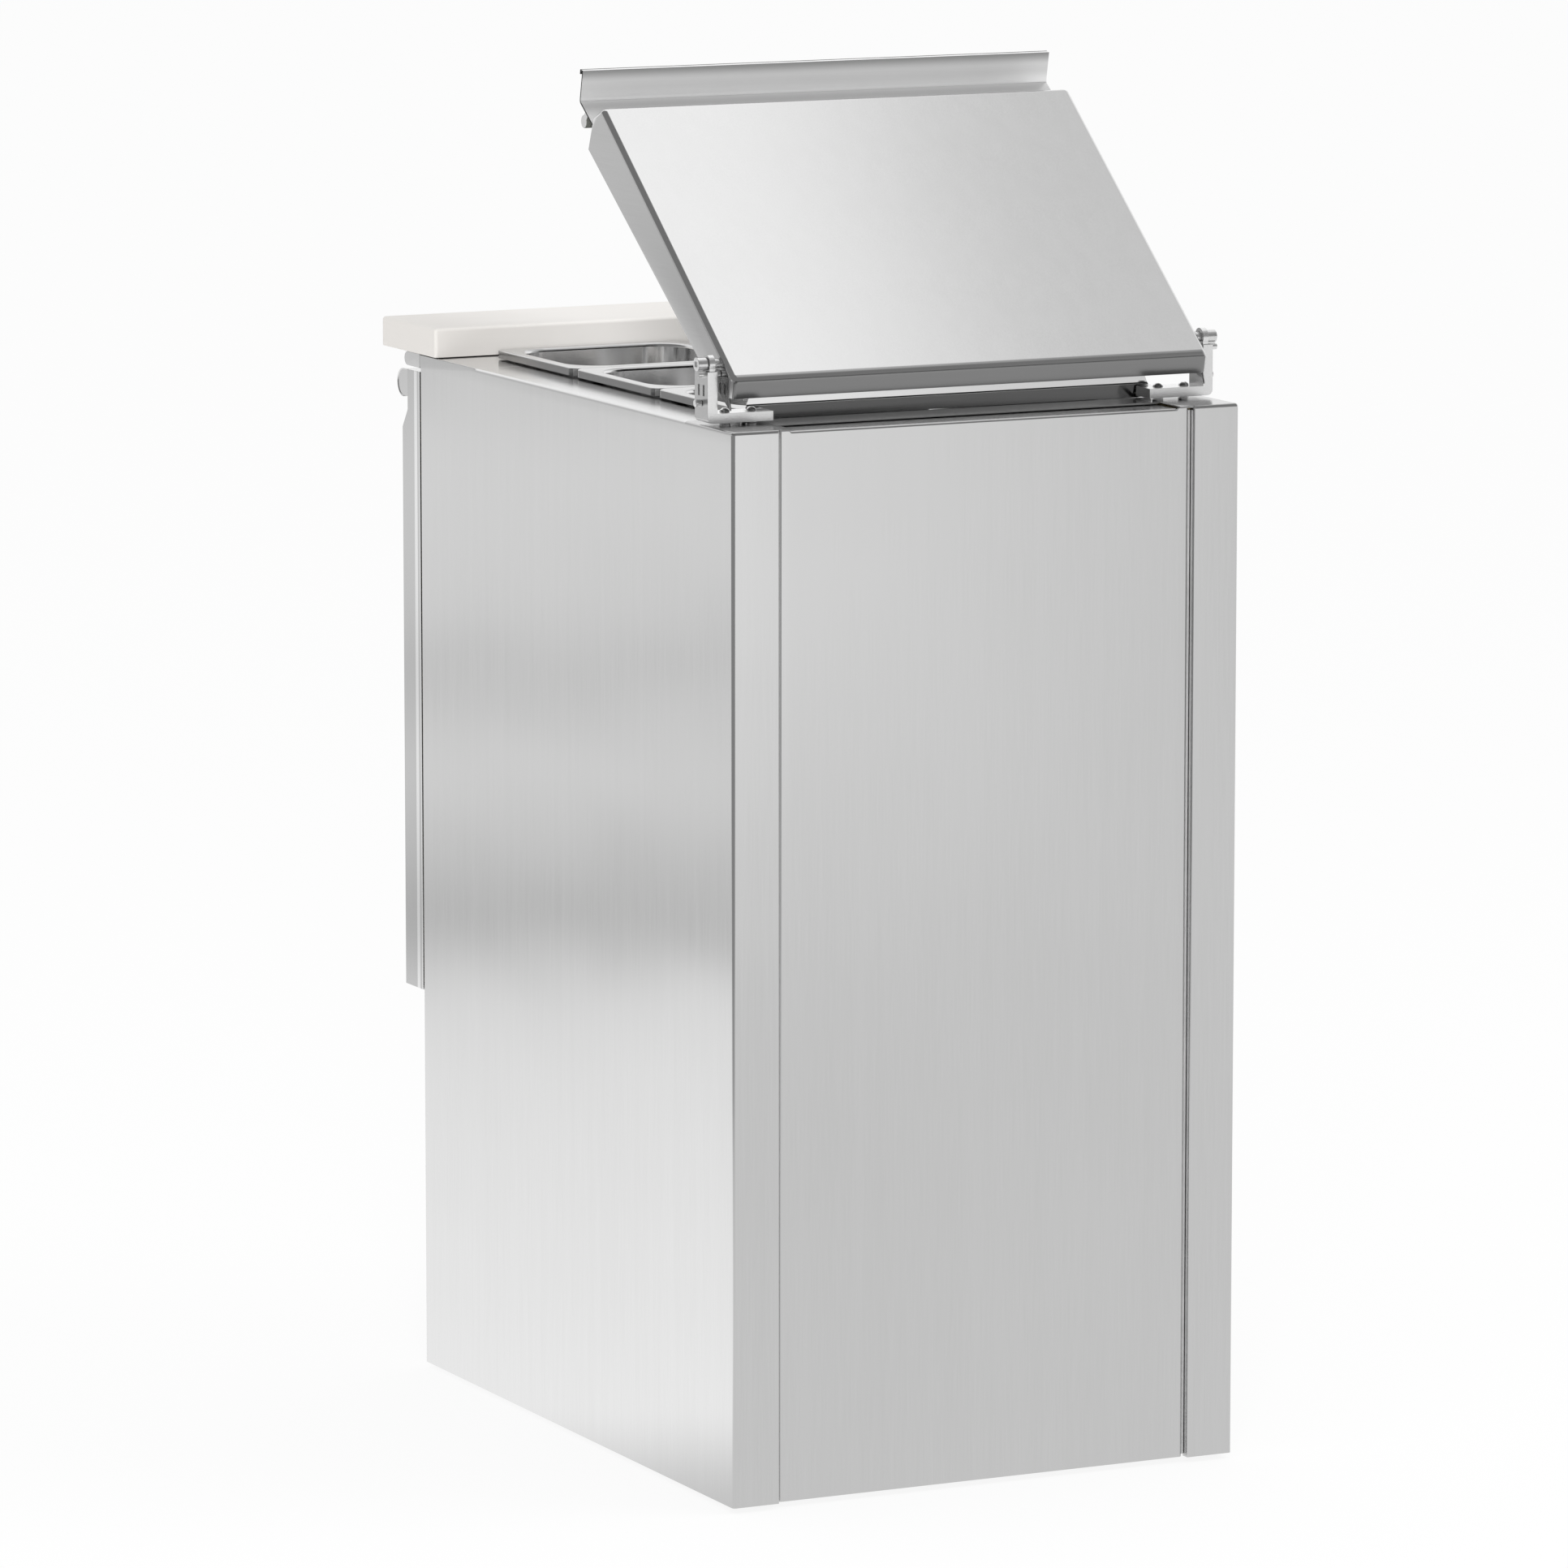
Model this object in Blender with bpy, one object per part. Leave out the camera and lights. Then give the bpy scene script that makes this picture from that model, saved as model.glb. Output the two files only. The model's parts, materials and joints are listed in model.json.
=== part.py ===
"""Refrigerated mini saladette: a one-door chilled salad counter with six food pans.

Frame: metres, +Z up, origin under the middle of the cabinet, rear face towards +Y,
the cook's side towards -Y. Depths are measured from the rear face towards the cook.
"""

import math

import bmesh
import bpy
from mathutils import Matrix, Vector

for leftover in list(bpy.data.objects):
    bpy.data.objects.remove(leftover)

# Sheet metal and fits
SHEET = 0.0015              # outer stainless sheet
LINER_SHEET = 0.0012        # inner liner sheet
FIT = 0.0003                # gap between pieces that touch
RUNNING_GAP = 0.0004        # gap round a pin that turns
LIFT_GAP = 0.0005           # gap between a loose piece and its neighbours
ROUND_SIDES = 20            # facets of a round piece

# Food pans, gastronorm size 1/6
PAN_WIDTH = 0.176
PAN_LENGTH = 0.162
PAN_DEPTH = 0.150
PAN_SHEET = 0.0010
PAN_RIM_WIDTH = 0.012
PAN_RIM_HEIGHT = 0.0080     # rim top above the counter top
PAN_RIM_SHADOW = 0.0015     # rim edge above the counter top
PAN_RIM_RADIUS = 0.010
PAN_WALL_RADIUS = 0.030
PAN_TAPER = 0.006           # draft of each pan wall over its depth
PAN_COLUMNS = 2
PAN_ROWS = 3
PAN_RIM_FOOT = 0.003        # resting face of the rim, in from its edge
PAN_SEAT = 0.009            # how far a rim lies over its support

# Counter top around the pans
SIDE_LEDGE = 0.046
CENTRE_GAP = 0.020
REAR_LEDGE = 0.080
FRONT_LEDGE = 0.054
FRONT_ARM = 0.062           # side arms of the front rail beside the front pans
LEDGE_LIP = 0.020
REAR_STRIP = 0.035          # rear panel's top fold
REAR_STEP = 0.002           # rear panel's top below the counter top
BAR_HEIGHT = 0.014
BAR_WIDTH = 0.016
CENTRE_BAR_HEIGHT = 0.006
RAIL_HEIGHT = 0.019
RAIL_LIP_HEIGHT = 0.013
RAIL_DEPTH = 0.0084
RAIL_END = 0.043            # rail end from the cabinet side, at its foot
RAIL_MITRE = 0.007

# Cabinet
PANEL_HEIGHT = 0.886
FOOT_HEIGHT = 0.005
FOOT_RADIUS = 0.018
FOOT_INSET = 0.055
REAR_RETURN = 0.042
REAR_RETURN_LIP = 0.008
REAR_RECESS = 0.005
REAR_GAP = 0.0025
REAR_FLANGE = 0.008
FRONT_RETURN = 0.034
CORNER_RADIUS = 0.003
BASE_SHEET = 0.0020
MACHINE_HEIGHT = 0.320
SIDE_INSULATION = 0.032
REAR_INSULATION = 0.030
FLOOR_INSULATION = 0.028

# Front rail under the cutting board
NOSE_REACH = 0.033
NOSE_HEIGHT = 0.012
NOSE_RISE = 0.0007          # nose top above the counter top
RAIL_BOX_DEPTH = 0.038
RAIL_BOX_HEIGHT = 0.050

# Cutting board
BOARD_DEPTH = 0.114
BOARD_THICKNESS = 0.025
BOARD_OVERHANG = 0.081
BOARD_EDGE = 0.003

# Lid, in its own frame: forwards from the pivot, and upwards
LID_INSET = 0.014           # lid side wall from the cabinet side
LID_SHEET = 0.0015
LID_ANGLE = math.radians(38.7)
PIVOT_DEPTH = 0.055
PIVOT_HEIGHT = 0.050
LID_REAR = 0.0277           # lid top behind the pivot
LID_FRONT = 0.2925          # lid top in front of the pivot
LID_TOP = 0.0091            # lid top above the pivot
LID_SIDE_FRONT = 0.045      # side wall height at the front
LID_SIDE_MIDDLE = 0.0325    # side wall height near the pivot
LID_SIDE_MIDDLE_AT = 0.032
LID_SIDE_REAR = 0.0243
LID_REAR_SLANT = 0.0118
LID_FRONT_SLANT = 0.005
LID_FRONT_BEND = 0.014      # front wall's bend below the lid top
LID_FRONT_RAKE = 0.0033     # side wall's front foot behind the lid's front edge
LID_FRONT_WALL = 0.0225
LID_SKIRT = 0.0155
LID_LINER_GAP = 0.001
HANDLE_WEB = 0.0277
HANDLE_LIP = 0.0274
HANDLE_LIP_ANGLE = math.radians(63.0)
HANDLE_SAG = 0.0017         # fall of the handle web to its bend
BUMPER_RADIUS = 0.0055
BUMPER_LENGTH = 0.014
BUMPER_AT = 0.0243          # bumper in front of the lid's front edge
BUMPER_DROP = 0.0395        # bumper's middle below the lid top
BUMPER_STEM = 0.006
BUMPER_END = 0.004          # bumper from the lid's side

# Lid hinge brackets
BRACKET_THICKNESS = 0.009
BRACKET_WIDTH = 0.0242
BRACKET_DEPTH = 0.0458      # rear edge of a bracket from the cabinet's rear
BRACKET_LIFT = 0.002
BRACKET_FOOT = 0.059
BRACKET_FOOT_HEIGHT = 0.008
BRACKET_LEG_TOP = 0.044
EAR_THICKNESS = 0.005
EAR_INSET = 0.003           # ear's outer face from the leg's outer face
EAR_RADIUS = 0.0075
EAR_NECK = 0.013            # width of the ear's neck
BOLT_RADIUS = 0.004
BOLT_HEAD_RADIUS = 0.0055
BOLT_HEAD = 0.005
BOLT_SOCKET = 0.0022
BOLT_REACH = 0.004          # bolt inside the lid wall
CROSS_PIN_RADIUS = 0.0028
CROSS_PIN_HEIGHT = 0.0418
CROSS_PIN_BACK = 0.003       # cross pin behind the pivot
CROSS_PIN_REACH = 0.006
STOP_PIN_RADIUS = 0.003
STOP_PIN_HEIGHT = 0.018
STOP_PIN_REACH = 0.006
SLOT_WIDTH = 0.003
SLOT_LOW = 0.024
SLOT_LENGTH = 0.009
SLOT_SPACING = 0.009
SCREW_RADIUS = 0.0045
SCREW_HEIGHT = 0.003
SCREW_SPACING = 0.024
SCREW_INSET = 0.014         # inner screw from the foot's end

# Door
DOOR_SIDE_GAP = 0.001
DOOR_TOP_GAP = 0.015        # door top below the counter top
DOOR_LOWER_GAP = 0.010      # door bottom above the machine compartment
DOOR_THICKNESS = 0.037
DOOR_GAP = 0.003
DOOR_SHEET = 0.0012
DOOR_RECESS = 0.011
DOOR_RECESS_HEIGHT = 0.010
DOOR_RECESS_TAPER = 0.016
GRIP_DIAMETER = 0.025
GRIP_REACH = 0.011
GASKET_WIDTH = 0.012
GASKET_INSET = 0.016
HINGE_SIDE = 0.0115         # door axis from the cabinet side
HINGE_REACH = 0.022         # door axis in front of the cabinet front
DOOR_PIN_RADIUS = 0.004
DOOR_PIN_LENGTH = 0.012
HINGE_PLATE = 0.0025
HINGE_TONGUE = 0.028
HINGE_LEAF_HEIGHT = 0.040

# Shelf
SHELF_HEIGHT = 0.215        # shelf rail above the chamber floor
SHELF_RAIL_WIDTH = 0.014
SHELF_RAIL_HEIGHT = 0.012
SHELF_RAIL_INSET = 0.045
SHELF_THICKNESS = 0.006
SHELF_BAR = 0.004
SHELF_GAPS = 13
SHELF_SIDE_GAP = 0.003

# Refrigeration
EVAPORATOR_WIDTH = 0.280
EVAPORATOR_HEIGHT = 0.150
EVAPORATOR_DEPTH = 0.028
EVAPORATOR_BELOW_TOP = 0.180
CONDENSER_WIDTH = 0.220
CONDENSER_HEIGHT = 0.230
CONDENSER_DEPTH = 0.055
CONDENSER_FROM_FRONT = 0.045
CONDENSER_SIDE = 0.070      # condenser centre from the cabinet's middle
COIL_SPINE = 0.006
COIL_FIN = 0.0025
COIL_PITCH = 0.011
FAN_RADIUS = 0.080
FAN_HUB_RADIUS = 0.022
FAN_DEPTH = 0.022
FAN_BLADES = 4
FAN_BLADE_THICKNESS = 0.003
FAN_GAP = 0.020
FAN_SHAFT_RADIUS = 0.004
FAN_MOTOR_RADIUS = 0.032
FAN_MOTOR_LENGTH = 0.050
FAN_HEIGHT = 0.125          # fan axis above the base plate
MOTOR_STAND = 0.030
COMPRESSOR_RADIUS = 0.075
COMPRESSOR_HEIGHT = 0.175
COMPRESSOR_SIDE = 0.100
COMPRESSOR_FROM_REAR = 0.150
COMPRESSOR_FOOT = 0.012
PIPE_RADIUS = 0.004
TRAY_WIDTH = 0.150
TRAY_LENGTH = 0.130
TRAY_HEIGHT = 0.035
TRAY_WALL = 0.002
TRAY_FROM_REAR = 0.060

# Machine compartment front
GRILLE_SLOTS = 9
GRILLE_SLOT_HEIGHT = 0.009
GRILLE_SLOT_PITCH = 0.020
GRILLE_SLOT_WIDTH = 0.300
GRILLE_LOWEST_SLOT = 0.045
CONTROL_WIDTH = 0.180
CONTROL_HEIGHT = 0.056
CONTROL_BELOW_CEILING = 0.016
KNOB_RADIUS = 0.018
KNOB_LENGTH = 0.014
KNOB_SHAFT_RADIUS = 0.003
KNOB_SIDE = 0.045
SWITCH_WIDTH = 0.030
SWITCH_HEIGHT = 0.022
SWITCH_FRAME = 0.003
SWITCH_ROCK = 0.006
SWITCH_SIDE = 0.045

# Places worked out from the sizes
CABINET_WIDTH = PAN_COLUMNS * PAN_WIDTH + CENTRE_GAP + 2 * SIDE_LEDGE
CABINET_DEPTH = REAR_LEDGE + PAN_ROWS * PAN_LENGTH + FRONT_LEDGE
HALF = CABINET_WIDTH / 2
REAR_Y = (CABINET_DEPTH + BOARD_OVERHANG) / 2
BOTTOM_Z = FOOT_HEIGHT
TOP_Z = FOOT_HEIGHT + PANEL_HEIGHT
BASE_TOP = BOTTOM_Z + BASE_SHEET
CEILING_Z = BOTTOM_Z + MACHINE_HEIGHT
INSIDE = HALF - SHEET - FIT
LEDGE_EDGE = HALF - SIDE_LEDGE - PAN_SEAT
PANEL_EDGE = HALF - REAR_RETURN - REAR_GAP
INNER_REAR = REAR_RECESS + SHEET + REAR_FLANGE + FIT
INNER_FRONT = CABINET_DEPTH - SHEET - FIT
FOAM_INNER = INSIDE - SIDE_INSULATION
FOAM_REAR = INNER_REAR + REAR_INSULATION
FOAM_FLOOR = CEILING_Z + FIT + FLOOR_INSULATION
LINER_OUTER = FOAM_INNER - FIT
LINER_INNER = LINER_OUTER - LINER_SHEET
LINER_REAR = FOAM_REAR + FIT + LINER_SHEET
LINER_FLOOR = FOAM_FLOOR + FIT + LINER_SHEET
UNDER_TOP = TOP_Z - SHEET - FIT
PANS_REAR = REAR_LEDGE + PAN_SEAT
PANS_FRONT = CABINET_DEPTH - FRONT_LEDGE - PAN_SEAT
LID_HALF = HALF - LID_INSET
DOOR_HALF = HALF - DOOR_SIDE_GAP
DOOR_BACK = CABINET_DEPTH + DOOR_GAP
DOOR_FACE = DOOR_BACK + DOOR_THICKNESS
DOOR_TOP = TOP_Z - DOOR_TOP_GAP
DOOR_BOTTOM = CEILING_Z + DOOR_LOWER_GAP
DOOR_AXIS_X = -HALF + HINGE_SIDE
DOOR_AXIS_DEPTH = CABINET_DEPTH + HINGE_REACH
SILL_HALF = HALF - FRONT_RETURN - FIT
CONTROL_FACE = INNER_FRONT + FIT + BASE_SHEET
CONTROL_TOP = CEILING_Z - CONTROL_BELOW_CEILING
CONTROL_MIDDLE = CONTROL_TOP - CONTROL_HEIGHT / 2
FAN_Z = BASE_TOP + FAN_HEIGHT
CONDENSER_REAR = INNER_FRONT - CONDENSER_FROM_FRONT - CONDENSER_DEPTH


# Modelling helpers

def material(name, colour, roughness, metallic):
    """Return the named Principled material, made once."""
    found = bpy.data.materials.get(name)
    if found:
        return found
    made = bpy.data.materials.new(name)
    made.use_nodes = True
    shader = made.node_tree.nodes["Principled BSDF"]
    shader.inputs["Base Color"].default_value = (*colour, 1.0)
    shader.inputs["Roughness"].default_value = roughness
    shader.inputs["Metallic"].default_value = metallic
    return made


def steel():
    return material("brushed_steel", (0.72, 0.72, 0.73), 0.32, 1.0)


def polished():
    return material("polished_steel", (0.78, 0.78, 0.79), 0.16, 1.0)


def cast():
    return material("cast_bracket", (0.80, 0.80, 0.80), 0.38, 1.0)


def black():
    return material("black_plastic", (0.02, 0.02, 0.02), 0.55, 0.0)


def shape(bm):
    """Turn a bmesh into a scene object with outward normals."""
    bmesh.ops.recalc_face_normals(bm, faces=bm.faces)
    mesh = bpy.data.meshes.new("shape")
    bm.to_mesh(mesh)
    bm.free()
    made = bpy.data.objects.new("shape", mesh)
    bpy.context.scene.collection.objects.link(made)
    return made


def depth_y(depth):
    """World Y of a depth measured from the rear face."""
    return REAR_Y - depth


def prism(outline, start, end, place):
    """Extrude a closed 2D outline between two values; place makes the 3D point."""
    bm = bmesh.new()
    near = [bm.verts.new(place(p, q, start)) for p, q in outline]
    far = [bm.verts.new(place(p, q, end)) for p, q in outline]
    count = len(outline)
    for i in range(count):
        j = (i + 1) % count
        bm.faces.new((near[i], near[j], far[j], far[i]))
    bm.faces.new(near)
    bm.faces.new(far)
    return shape(bm)


def upright(x, depth, z):
    """Outline in plan, extruded upwards."""
    return (x, depth_y(depth), z)


def across(depth, z, x):
    """Outline seen from the side, extruded across the width."""
    return (x, depth_y(depth), z)


def lid_across(u, v, x):
    """Outline in the lid's own frame, extruded across the width."""
    return (x, -u, v)


def fore(x, z, depth):
    """Outline seen from the front, extruded along the depth."""
    return (x, depth_y(depth), z)


def block(x0, x1, depth0, depth1, z0, z1):
    corners = [(x0, depth0), (x1, depth0), (x1, depth1), (x0, depth1)]
    return prism(corners, z0, z1, upright)


def circle(p, q, radius, sides=ROUND_SIDES):
    angles = [2 * math.pi * (i + 0.5) / sides for i in range(sides)]
    return [(p + radius * math.cos(a), q + radius * math.sin(a)) for a in angles]


def arc(p, q, radius, start, end, steps=6):
    """Points on an arc, with the angles in degrees."""
    angles = [math.radians(start + (end - start) * i / steps) for i in range(steps + 1)]
    return [(p + radius * math.cos(a), q + radius * math.sin(a)) for a in angles]


def rounded(half_p, half_q, radius, steps=4):
    """Rounded rectangle about the origin."""
    points = []
    corners = [(1, 1, 0), (-1, 1, 90), (-1, -1, 180), (1, -1, 270)]
    for sign_p, sign_q, start in corners:
        centre_p = sign_p * (half_p - radius)
        centre_q = sign_q * (half_q - radius)
        points += arc(centre_p, centre_q, radius, start, start + 90, steps)
    return points


def loft(loops):
    """Skin a list of equal point loops and cap both ends."""
    bm = bmesh.new()
    rings = [[bm.verts.new(point) for point in loop] for loop in loops]
    for lower, upper in zip(rings, rings[1:]):
        count = len(lower)
        for i in range(count):
            j = (i + 1) % count
            bm.faces.new((lower[i], lower[j], upper[j], upper[i]))
    bm.faces.new(rings[0])
    bm.faces.new(rings[-1])
    return shape(bm)


def lathe(profile, x, depth, z, along_y=False, sides=ROUND_SIDES):
    """Turn a list of (radius, height) about an upright axis or one along the depth."""
    loops = []
    for radius, height in profile:
        ring = circle(0.0, 0.0, radius, sides)
        if along_y:
            loops.append([(x + p, depth_y(depth + height), z + q) for p, q in ring])
        else:
            loops.append([(x + p, depth_y(depth) + q, z + height) for p, q in ring])
    return loft(loops)


def rod_x(x0, x1, depth, z, radius, sides=ROUND_SIDES):
    return prism(circle(depth, z, radius, sides), x0, x1, across)


def rod_z(x, depth, z0, z1, radius, sides=ROUND_SIDES):
    return prism(circle(x, depth, radius, sides), z0, z1, upright)


def rod_y(x, z, depth0, depth1, radius, sides=ROUND_SIDES):
    return prism(circle(x, z, radius, sides), depth0, depth1, fore)


def boolean(base, others, operation):
    """Apply exact Booleans to the base and drop the other shapes."""
    for other in others:
        modifier = base.modifiers.new(operation, "BOOLEAN")
        modifier.operation = operation
        modifier.object = other
        modifier.solver = "EXACT"
    graph = bpy.context.evaluated_depsgraph_get()
    result = bpy.data.meshes.new_from_object(base.evaluated_get(graph))
    base.modifiers.clear()
    base.data = result
    for other in others:
        bpy.data.objects.remove(other)
    return base


def union(base, *others):
    return boolean(base, others, "UNION")


def cut(base, *others):
    return boolean(base, others, "DIFFERENCE")


def node(made, name, look, pivot=None, in_pivot_frame=False):
    """Name a sub-part, give it its material and hang it on its joint's empty."""
    made.name = name
    made.data.name = name
    made.data.materials.clear()
    made.data.materials.append(look)
    if pivot:
        made.parent = pivot
        if not in_pivot_frame:
            made.matrix_parent_inverse = pivot.matrix_world.inverted()
    return made


def pivot_empty(name, x, depth, z, tilt=0.0):
    """Empty on a joint's axis, tilted about X."""
    empty = bpy.data.objects.new(name, None)
    bpy.context.scene.collection.objects.link(empty)
    empty.location = (x, depth_y(depth), z)
    empty.rotation_euler = (-tilt, 0.0, 0.0)
    bpy.context.view_layer.update()
    return empty


# Cabinet shell

def side_panel(side, name):
    """Folded side panel: wall, rear return with lip, front return and top ledge."""
    wall_inner = HALF - SHEET
    return_edge = HALF - REAR_RETURN
    corner = arc(HALF - CORNER_RADIUS, CORNER_RADIUS, CORNER_RADIUS, 0, -90, 3)
    plan = [(HALF, CABINET_DEPTH)] + corner
    plan += [(return_edge, 0.0), (return_edge, REAR_RETURN_LIP)]
    plan += [(return_edge + SHEET, REAR_RETURN_LIP), (return_edge + SHEET, SHEET)]
    plan += [(wall_inner - SHEET, SHEET), (wall_inner, 2 * SHEET), (wall_inner, CABINET_DEPTH)]
    plan = [(side * x, depth) for x, depth in plan]
    panel = prism(plan, BOTTOM_Z, TOP_Z, upright)
    front = side_block(side, HALF - FRONT_RETURN, HALF - SHEET / 2, CABINET_DEPTH - SHEET,
                       CABINET_DEPTH, BOTTOM_Z, TOP_Z - NOSE_HEIGHT)
    ledge_end = CABINET_DEPTH - FRONT_LEDGE - FRONT_ARM
    ledge = side_block(side, LEDGE_EDGE, HALF - SHEET / 2, SHEET / 2, ledge_end,
                       TOP_Z - SHEET, TOP_Z)
    lip = side_block(side, LEDGE_EDGE, LEDGE_EDGE + SHEET, PANS_REAR + FIT, ledge_end,
                     TOP_Z - LEDGE_LIP, TOP_Z - SHEET / 2)
    return node(union(panel, front, ledge, lip), name, steel())


def side_block(side, x0, x1, depth0, depth1, z0, z1):
    return block(side * x0, side * x1, depth0, depth1, z0, z1)


def rear_panel():
    """Recessed rear panel with folded upright edges and a top fold."""
    face = REAR_RECESS
    back = REAR_RECESS + SHEET
    fold = back + REAR_FLANGE
    edge = PANEL_EDGE
    plan = [(-edge, fold), (-edge, back)] + arc(-edge + SHEET, back, SHEET, 180, 270, 3)
    plan += arc(edge - SHEET, back, SHEET, 270, 360, 3) + [(edge, fold)]
    plan += [(edge - SHEET, fold), (edge - SHEET, back), (-edge + SHEET, back), (-edge + SHEET, fold)]
    top = TOP_Z - REAR_STEP
    panel = prism(plan, BOTTOM_Z, top - SHEET / 2, upright)
    strip = block(-LEDGE_EDGE + FIT, LEDGE_EDGE - FIT, face + SHEET / 2, REAR_STRIP,
                  top - SHEET, top)
    return node(union(panel, strip), "rear_panel", steel())


def base_plate():
    made = block(-INSIDE, INSIDE, INNER_REAR, INNER_FRONT, BOTTOM_Z, BASE_TOP)
    return node(made, "base_plate", material("zinc_sheet", (0.55, 0.56, 0.57), 0.45, 1.0))


def machine_ceiling():
    made = block(-INSIDE, INSIDE, INNER_REAR, INNER_FRONT, CEILING_Z - BASE_SHEET, CEILING_Z)
    return node(made, "machine_ceiling", material("zinc_sheet", (0.55, 0.56, 0.57), 0.45, 1.0))


def feet():
    rubber = material("rubber_foot", (0.03, 0.03, 0.03), 0.8, 0.0)
    for x_name, x in (("left", -1), ("right", 1)):
        for y_name, depth in (("rear", FOOT_INSET), ("front", CABINET_DEPTH - FOOT_INSET)):
            made = rod_z(x * (HALF - FOOT_INSET), depth, 0.0, FOOT_HEIGHT - FIT, FOOT_RADIUS)
            node(made, f"foot_{y_name}_{x_name}", rubber)


def foam_insulation():
    outer = block(-INSIDE, INSIDE, INNER_REAR + FIT, INNER_FRONT, CEILING_Z + FIT,
                  UNDER_TOP - REAR_STEP)
    chamber = block(-FOAM_INNER, FOAM_INNER, FOAM_REAR, CABINET_DEPTH, FOAM_FLOOR, TOP_Z)
    look = material("insulation_foam", (0.85, 0.78, 0.55), 0.9, 0.0)
    return node(cut(outer, chamber), "foam_insulation", look)


def inner_liner():
    outer = block(-LINER_OUTER, LINER_OUTER, FOAM_REAR + FIT, INNER_FRONT, FOAM_FLOOR + FIT, UNDER_TOP)
    chamber = block(-LINER_INNER, LINER_INNER, LINER_REAR, CABINET_DEPTH, LINER_FLOOR, TOP_Z)
    return node(cut(outer, chamber), "inner_liner", steel())


# Counter top

def rear_ledge():
    made = block(-LEDGE_EDGE + FIT, LEDGE_EDGE - FIT, REAR_STRIP + FIT, PANS_REAR,
                 TOP_Z - SHEET, TOP_Z)
    return node(made, "rear_ledge", steel())


def rear_pan_rail():
    """Rail behind the pans: upright wall, lip and a bright sloping top, mitred at the ends."""
    rear = REAR_LEDGE - FIT - RAIL_DEPTH
    front = REAR_LEDGE - FIT
    low = TOP_Z + FIT
    lip = TOP_Z + RAIL_LIP_HEIGHT
    top = TOP_Z + RAIL_HEIGHT
    profile = [(rear, low), (rear, lip), (front, top), (front, top - SHEET),
               (rear + SHEET, lip - SHEET), (rear + SHEET, low)]
    half = HALF - RAIL_END
    rail = prism(profile, -half, half, across)
    wedges = []
    for side in (-1, 1):
        mitre = [(side * half, low), (side * (half - RAIL_MITRE), top + SHEET),
                 (side * (half + RAIL_MITRE), top + SHEET), (side * (half + RAIL_MITRE), low)]
        wedges.append(prism(mitre, rear - RAIL_DEPTH, front + RAIL_DEPTH, fore))
    return node(cut(rail, *wedges), "rear_pan_rail", polished())


def front_rail():
    """Front rail: flat top with side arms, box section over the door and rounded nose."""
    front_edge = CABINET_DEPTH - FRONT_LEDGE
    plate = block(-INSIDE, INSIDE, front_edge, CABINET_DEPTH + NOSE_HEIGHT, TOP_Z - SHEET, TOP_Z)
    seat = block(-LEDGE_EDGE - SHEET, LEDGE_EDGE + SHEET, PANS_FRONT, front_edge + SHEET,
                 TOP_Z - SHEET, TOP_Z)
    box = block(-LINER_INNER + FIT, LINER_INNER - FIT, CABINET_DEPTH - RAIL_BOX_DEPTH,
                CABINET_DEPTH, TOP_Z - RAIL_BOX_HEIGHT, TOP_Z - SHEET / 2)
    radius = NOSE_HEIGHT / 2
    tip = CABINET_DEPTH + NOSE_REACH - radius
    middle = TOP_Z + NOSE_RISE - radius
    rear = CABINET_DEPTH + FIT
    outline = [(rear, middle + radius), (rear, middle - radius)]
    outline += arc(tip, middle, radius, -90, 90, 6)
    nose = prism(outline, -HALF, HALF, across)
    arms = []
    for side in (-1, 1):
        arms.append(side_block(side, LEDGE_EDGE, INSIDE, front_edge - FRONT_ARM + FIT,
                               front_edge + SHEET, TOP_Z - SHEET, TOP_Z))
    return node(union(plate, seat, box, nose, *arms), "front_rail", steel())


def pan_bars():
    """Centre bar along the depth, and cross bars notched under it."""
    look = steel()
    half = CENTRE_GAP / 2 + PAN_SEAT
    centre = block(-half, half, PANS_REAR + FIT, PANS_FRONT - FIT, TOP_Z - CENTRE_BAR_HEIGHT, TOP_Z)
    node(centre, "pan_centre_bar", look)
    end = LEDGE_EDGE - FIT
    for row in range(1, PAN_ROWS):
        middle = REAR_LEDGE + row * PAN_LENGTH
        bar = block(-end, end, middle - BAR_WIDTH / 2, middle + BAR_WIDTH / 2,
                    TOP_Z - BAR_HEIGHT, TOP_Z)
        notch = block(-half - FIT, half + FIT, middle - BAR_WIDTH, middle + BAR_WIDTH,
                      TOP_Z - CENTRE_BAR_HEIGHT - FIT, TOP_Z + BAR_HEIGHT)
        node(cut(bar, notch), f"pan_cross_bar_{row}", look)


def pan_middle(column, row):
    """Middle of a pan: X and depth."""
    x = (column - (PAN_COLUMNS - 1) / 2) * (PAN_WIDTH + CENTRE_GAP)
    return x, REAR_LEDGE + (row + 0.5) * PAN_LENGTH


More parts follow.
